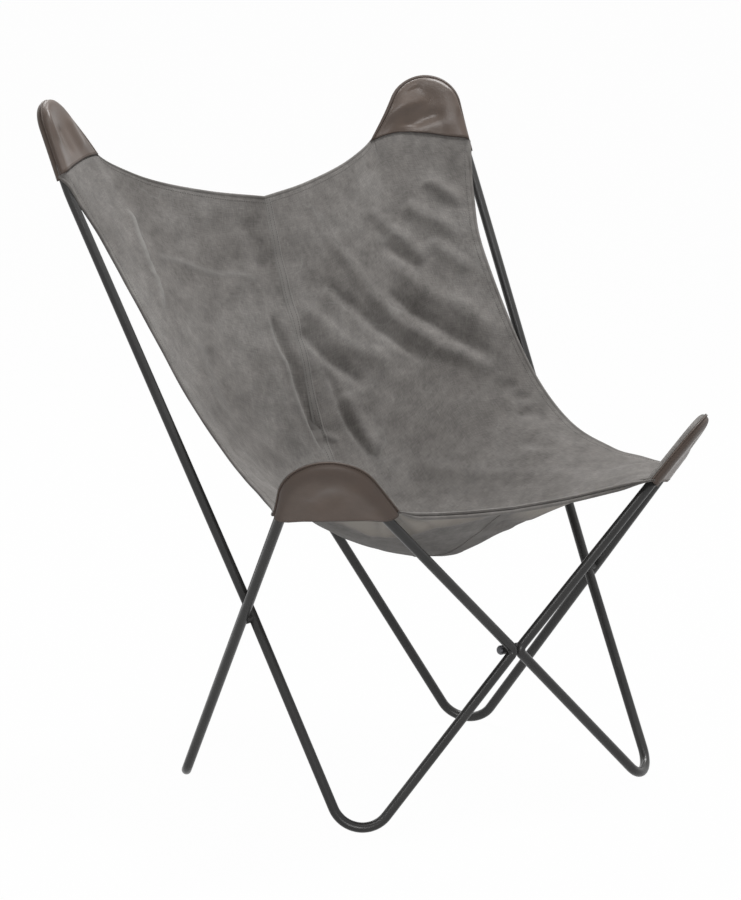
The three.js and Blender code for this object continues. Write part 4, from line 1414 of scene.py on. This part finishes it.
def build_leather():
    """The leather tips and pockets with their stitching."""
    for side in ("left", "right"):
        back_pocket = back_horn.sheet(
            POCKET_CREST, -1, POCKET_SAG["back"], MARGINS["back", side], flange=LEATHER / 2,
        )
        front_pocket = front_horn.sheet(
            POCKET_CREST, -1, POCKET_SAG["front"], MARGINS["front", side],
            FRONT_RISE[side], -FRONT_DROOP, flange=FRONT_FLANGE,
        )
        sheets = {
            f"back_{side}_tip": (slings[side].leather, back_horn, 1),
            f"back_{side}_pocket": (back_pocket, back_horn, -1),
            f"front_{side}_pocket": (front_pocket, front_horn, -1),
        }
        for name, (plain, horn, face) in sheets.items():
            grid = wrinkle(plain, horn, WRINKLES[name], face)
            verts, faces, index = sheet_mesh(grid)
            # Painted shade where shade falls beside the rod, along the welt and at the mouth.
            painted_shade = np.zeros(len(verts))
            for k in range(WELT_STEPS, SHEET_COLUMNS):
                painted_shade[index[:, k]] = ROD_SHADE[horn.name] * (1 - smoothstep(k, *SHADE_FADE))
            for k, shade in enumerate(EDGE_SHADES):
                painted_shade[index[:, k]] = shade
            painted_shade[index[[0, -1], MOUTH_START:]] = MOUTH_SHADE
            outward = horn.sitter * face
            mouth = horn.mouth(grid, 1)[MOUTH_START:-MOUTH_START]
            thread = join([
                stitches(line + outward * (LEATHER / 2), np.tile(outward, (len(line), 1)))
                for line in (grid[:, STITCH_COLUMN], mouth)
            ])
            flipped = side == "right"
            body = f"{name}_leather"
            piece = make_piece(body, verts, faces, leather, "leather", [name], mirrored=flipped)
            # The "edge" attribute carries this painted shade to the leather's colour.
            add_float(piece, "edge", painted_shade)
            solidify(piece, LEATHER)
            rows = make_piece(f"{name}_stitching", *thread, brown_thread, "leather", mirrored=flipped)


build_rods()
dress_hardware()
panels = build_canvas()
hems = build_hems()
seam = build_seam()
build_leather()


# Camera, light and floor

CAMERA_AZIMUTH = math.radians(-37.33)
CAMERA_ELEVATION = math.radians(9.73)
CAMERA_DISTANCE = 4885.7
CAMERA_SLIDE = (57.9, 4.2)
CAMERA_TARGET = vec(0, 0, 430)
FOCAL_PIXELS = 3826
IMAGE_HEIGHT = 900
SENSOR = 36
CLIP_END = 100


def place_camera():
    """The camera that was fitted to the photo."""
    back = vec(
        math.sin(CAMERA_AZIMUTH) * math.cos(CAMERA_ELEVATION),
        -math.cos(CAMERA_AZIMUTH) * math.cos(CAMERA_ELEVATION),
        math.sin(CAMERA_ELEVATION),
    )
    right = vec(math.cos(CAMERA_AZIMUTH), math.sin(CAMERA_AZIMUTH), 0)
    up = np.cross(back, right)
    slide = right * CAMERA_SLIDE[0] + up * CAMERA_SLIDE[1]
    eye = CAMERA_TARGET + back * CAMERA_DISTANCE - slide + ROW_SHIFT
    data = bpy.data.cameras.new("camera")
    data.sensor_width = SENSOR
    data.sensor_height = SENSOR
    data.lens = SENSOR * FOCAL_PIXELS / IMAGE_HEIGHT
    data.clip_end = CLIP_END
    camera = bpy.data.objects.new("camera", data)
    turn = Matrix((right, up, back)).transposed().to_4x4()
    camera.matrix_world = Matrix.Translation(Vector(eye / MM)) @ turn
    bpy.context.scene.collection.objects.link(camera)
    bpy.context.scene.camera = camera


# Lamps: name, place, aim, size and power.
LAMPS = [
    ("key", (1.6, 0.1, 4.7), (0, 0, 0.5), 1.3, 212),
    ("front", (-1.65, -1.6, 4.3), (0, 0, 0.7), 1.4, 36),
    ("low", (-1.8, -2.7, 0.4), (0, 0, 0.4), 1.0, 36),
    ("rim", (0.6, 2.6, 3.0), (0, 0, 0.6), 1.6, 40),
]


def add_light(name, place, aim, size, power):
    """A round area lamp that points at its aim."""
    data = bpy.data.lights.new(name, "AREA")
    data.shape = "DISK"
    data.size = size
    data.energy = power
    lamp = bpy.data.objects.new(name, data)
    lamp.location = place
    lamp.rotation_euler = (Vector(aim) - Vector(place)).to_track_quat("-Z", "Y").to_euler()
    bpy.context.scene.collection.objects.link(lamp)


def white_seen(tree, strength=1.0):
    """The share of white for rays from the camera and in reflections."""
    path = node(tree, "ShaderNodeLightPath")
    seen = maths(tree, "MAXIMUM", path.outputs["Is Camera Ray"], path.outputs["Is Glossy Ray"])
    seen = maths(tree, "MAXIMUM", seen, path.outputs["Is Transmission Ray"])
    return maths(tree, "MULTIPLY", seen, strength)


FLOOR_HALF = 30
FLOOR_DROP = 0.0005
FLOOR_GREY = 0.5
FLOOR_WHITE = 0.985
WORLD_FILL = 0.05


def build_stage():
    """A white floor and world that give little light of their own."""
    mesh = bpy.data.meshes.new("floor")
    h = FLOOR_HALF
    mesh.from_pydata([(-h, -h, 0), (h, -h, 0), (h, h, 0), (-h, h, 0)], [], [(0, 1, 2, 3)])
    floor = bpy.data.objects.new("floor", mesh)
    floor.location.z = -FLOOR_DROP
    bpy.context.scene.collection.objects.link(floor)
    material = bpy.data.materials.new("pale_floor")
    material.use_nodes = True
    tree = material.node_tree
    tree.nodes.clear()
    output = node(tree, "ShaderNodeOutputMaterial")
    plain = node(tree, "ShaderNodeBsdfDiffuse")
    plain.inputs["Color"].default_value = (*grey(FLOOR_GREY), 1)
    bright = node(tree, "ShaderNodeEmission", Strength=1.0)
    blend = node(tree, "ShaderNodeMixShader")
    link(tree, white_seen(tree, FLOOR_WHITE), blend.inputs["Fac"])
    link(tree, plain.outputs["BSDF"], blend.inputs[1])
    link(tree, bright.outputs["Emission"], blend.inputs[2])
    link(tree, blend.outputs["Shader"], output.inputs["Surface"])
    mesh.materials.append(material)
    world = bpy.data.worlds.new("studio")
    bpy.context.scene.world = world
    world.use_nodes = True
    tree = world.node_tree
    back = tree.nodes["Background"]
    back.inputs["Color"].default_value = (1, 1, 1, 1)
    strength = maths(tree, "MULTIPLY_ADD", white_seen(tree), 1 - WORLD_FILL, WORLD_FILL)
    link(tree, strength, back.inputs["Strength"])


place_camera()
build_stage()
for lamp_values in LAMPS:
    add_light(*lamp_values)
bpy.context.scene.view_settings.view_transform = "Standard"
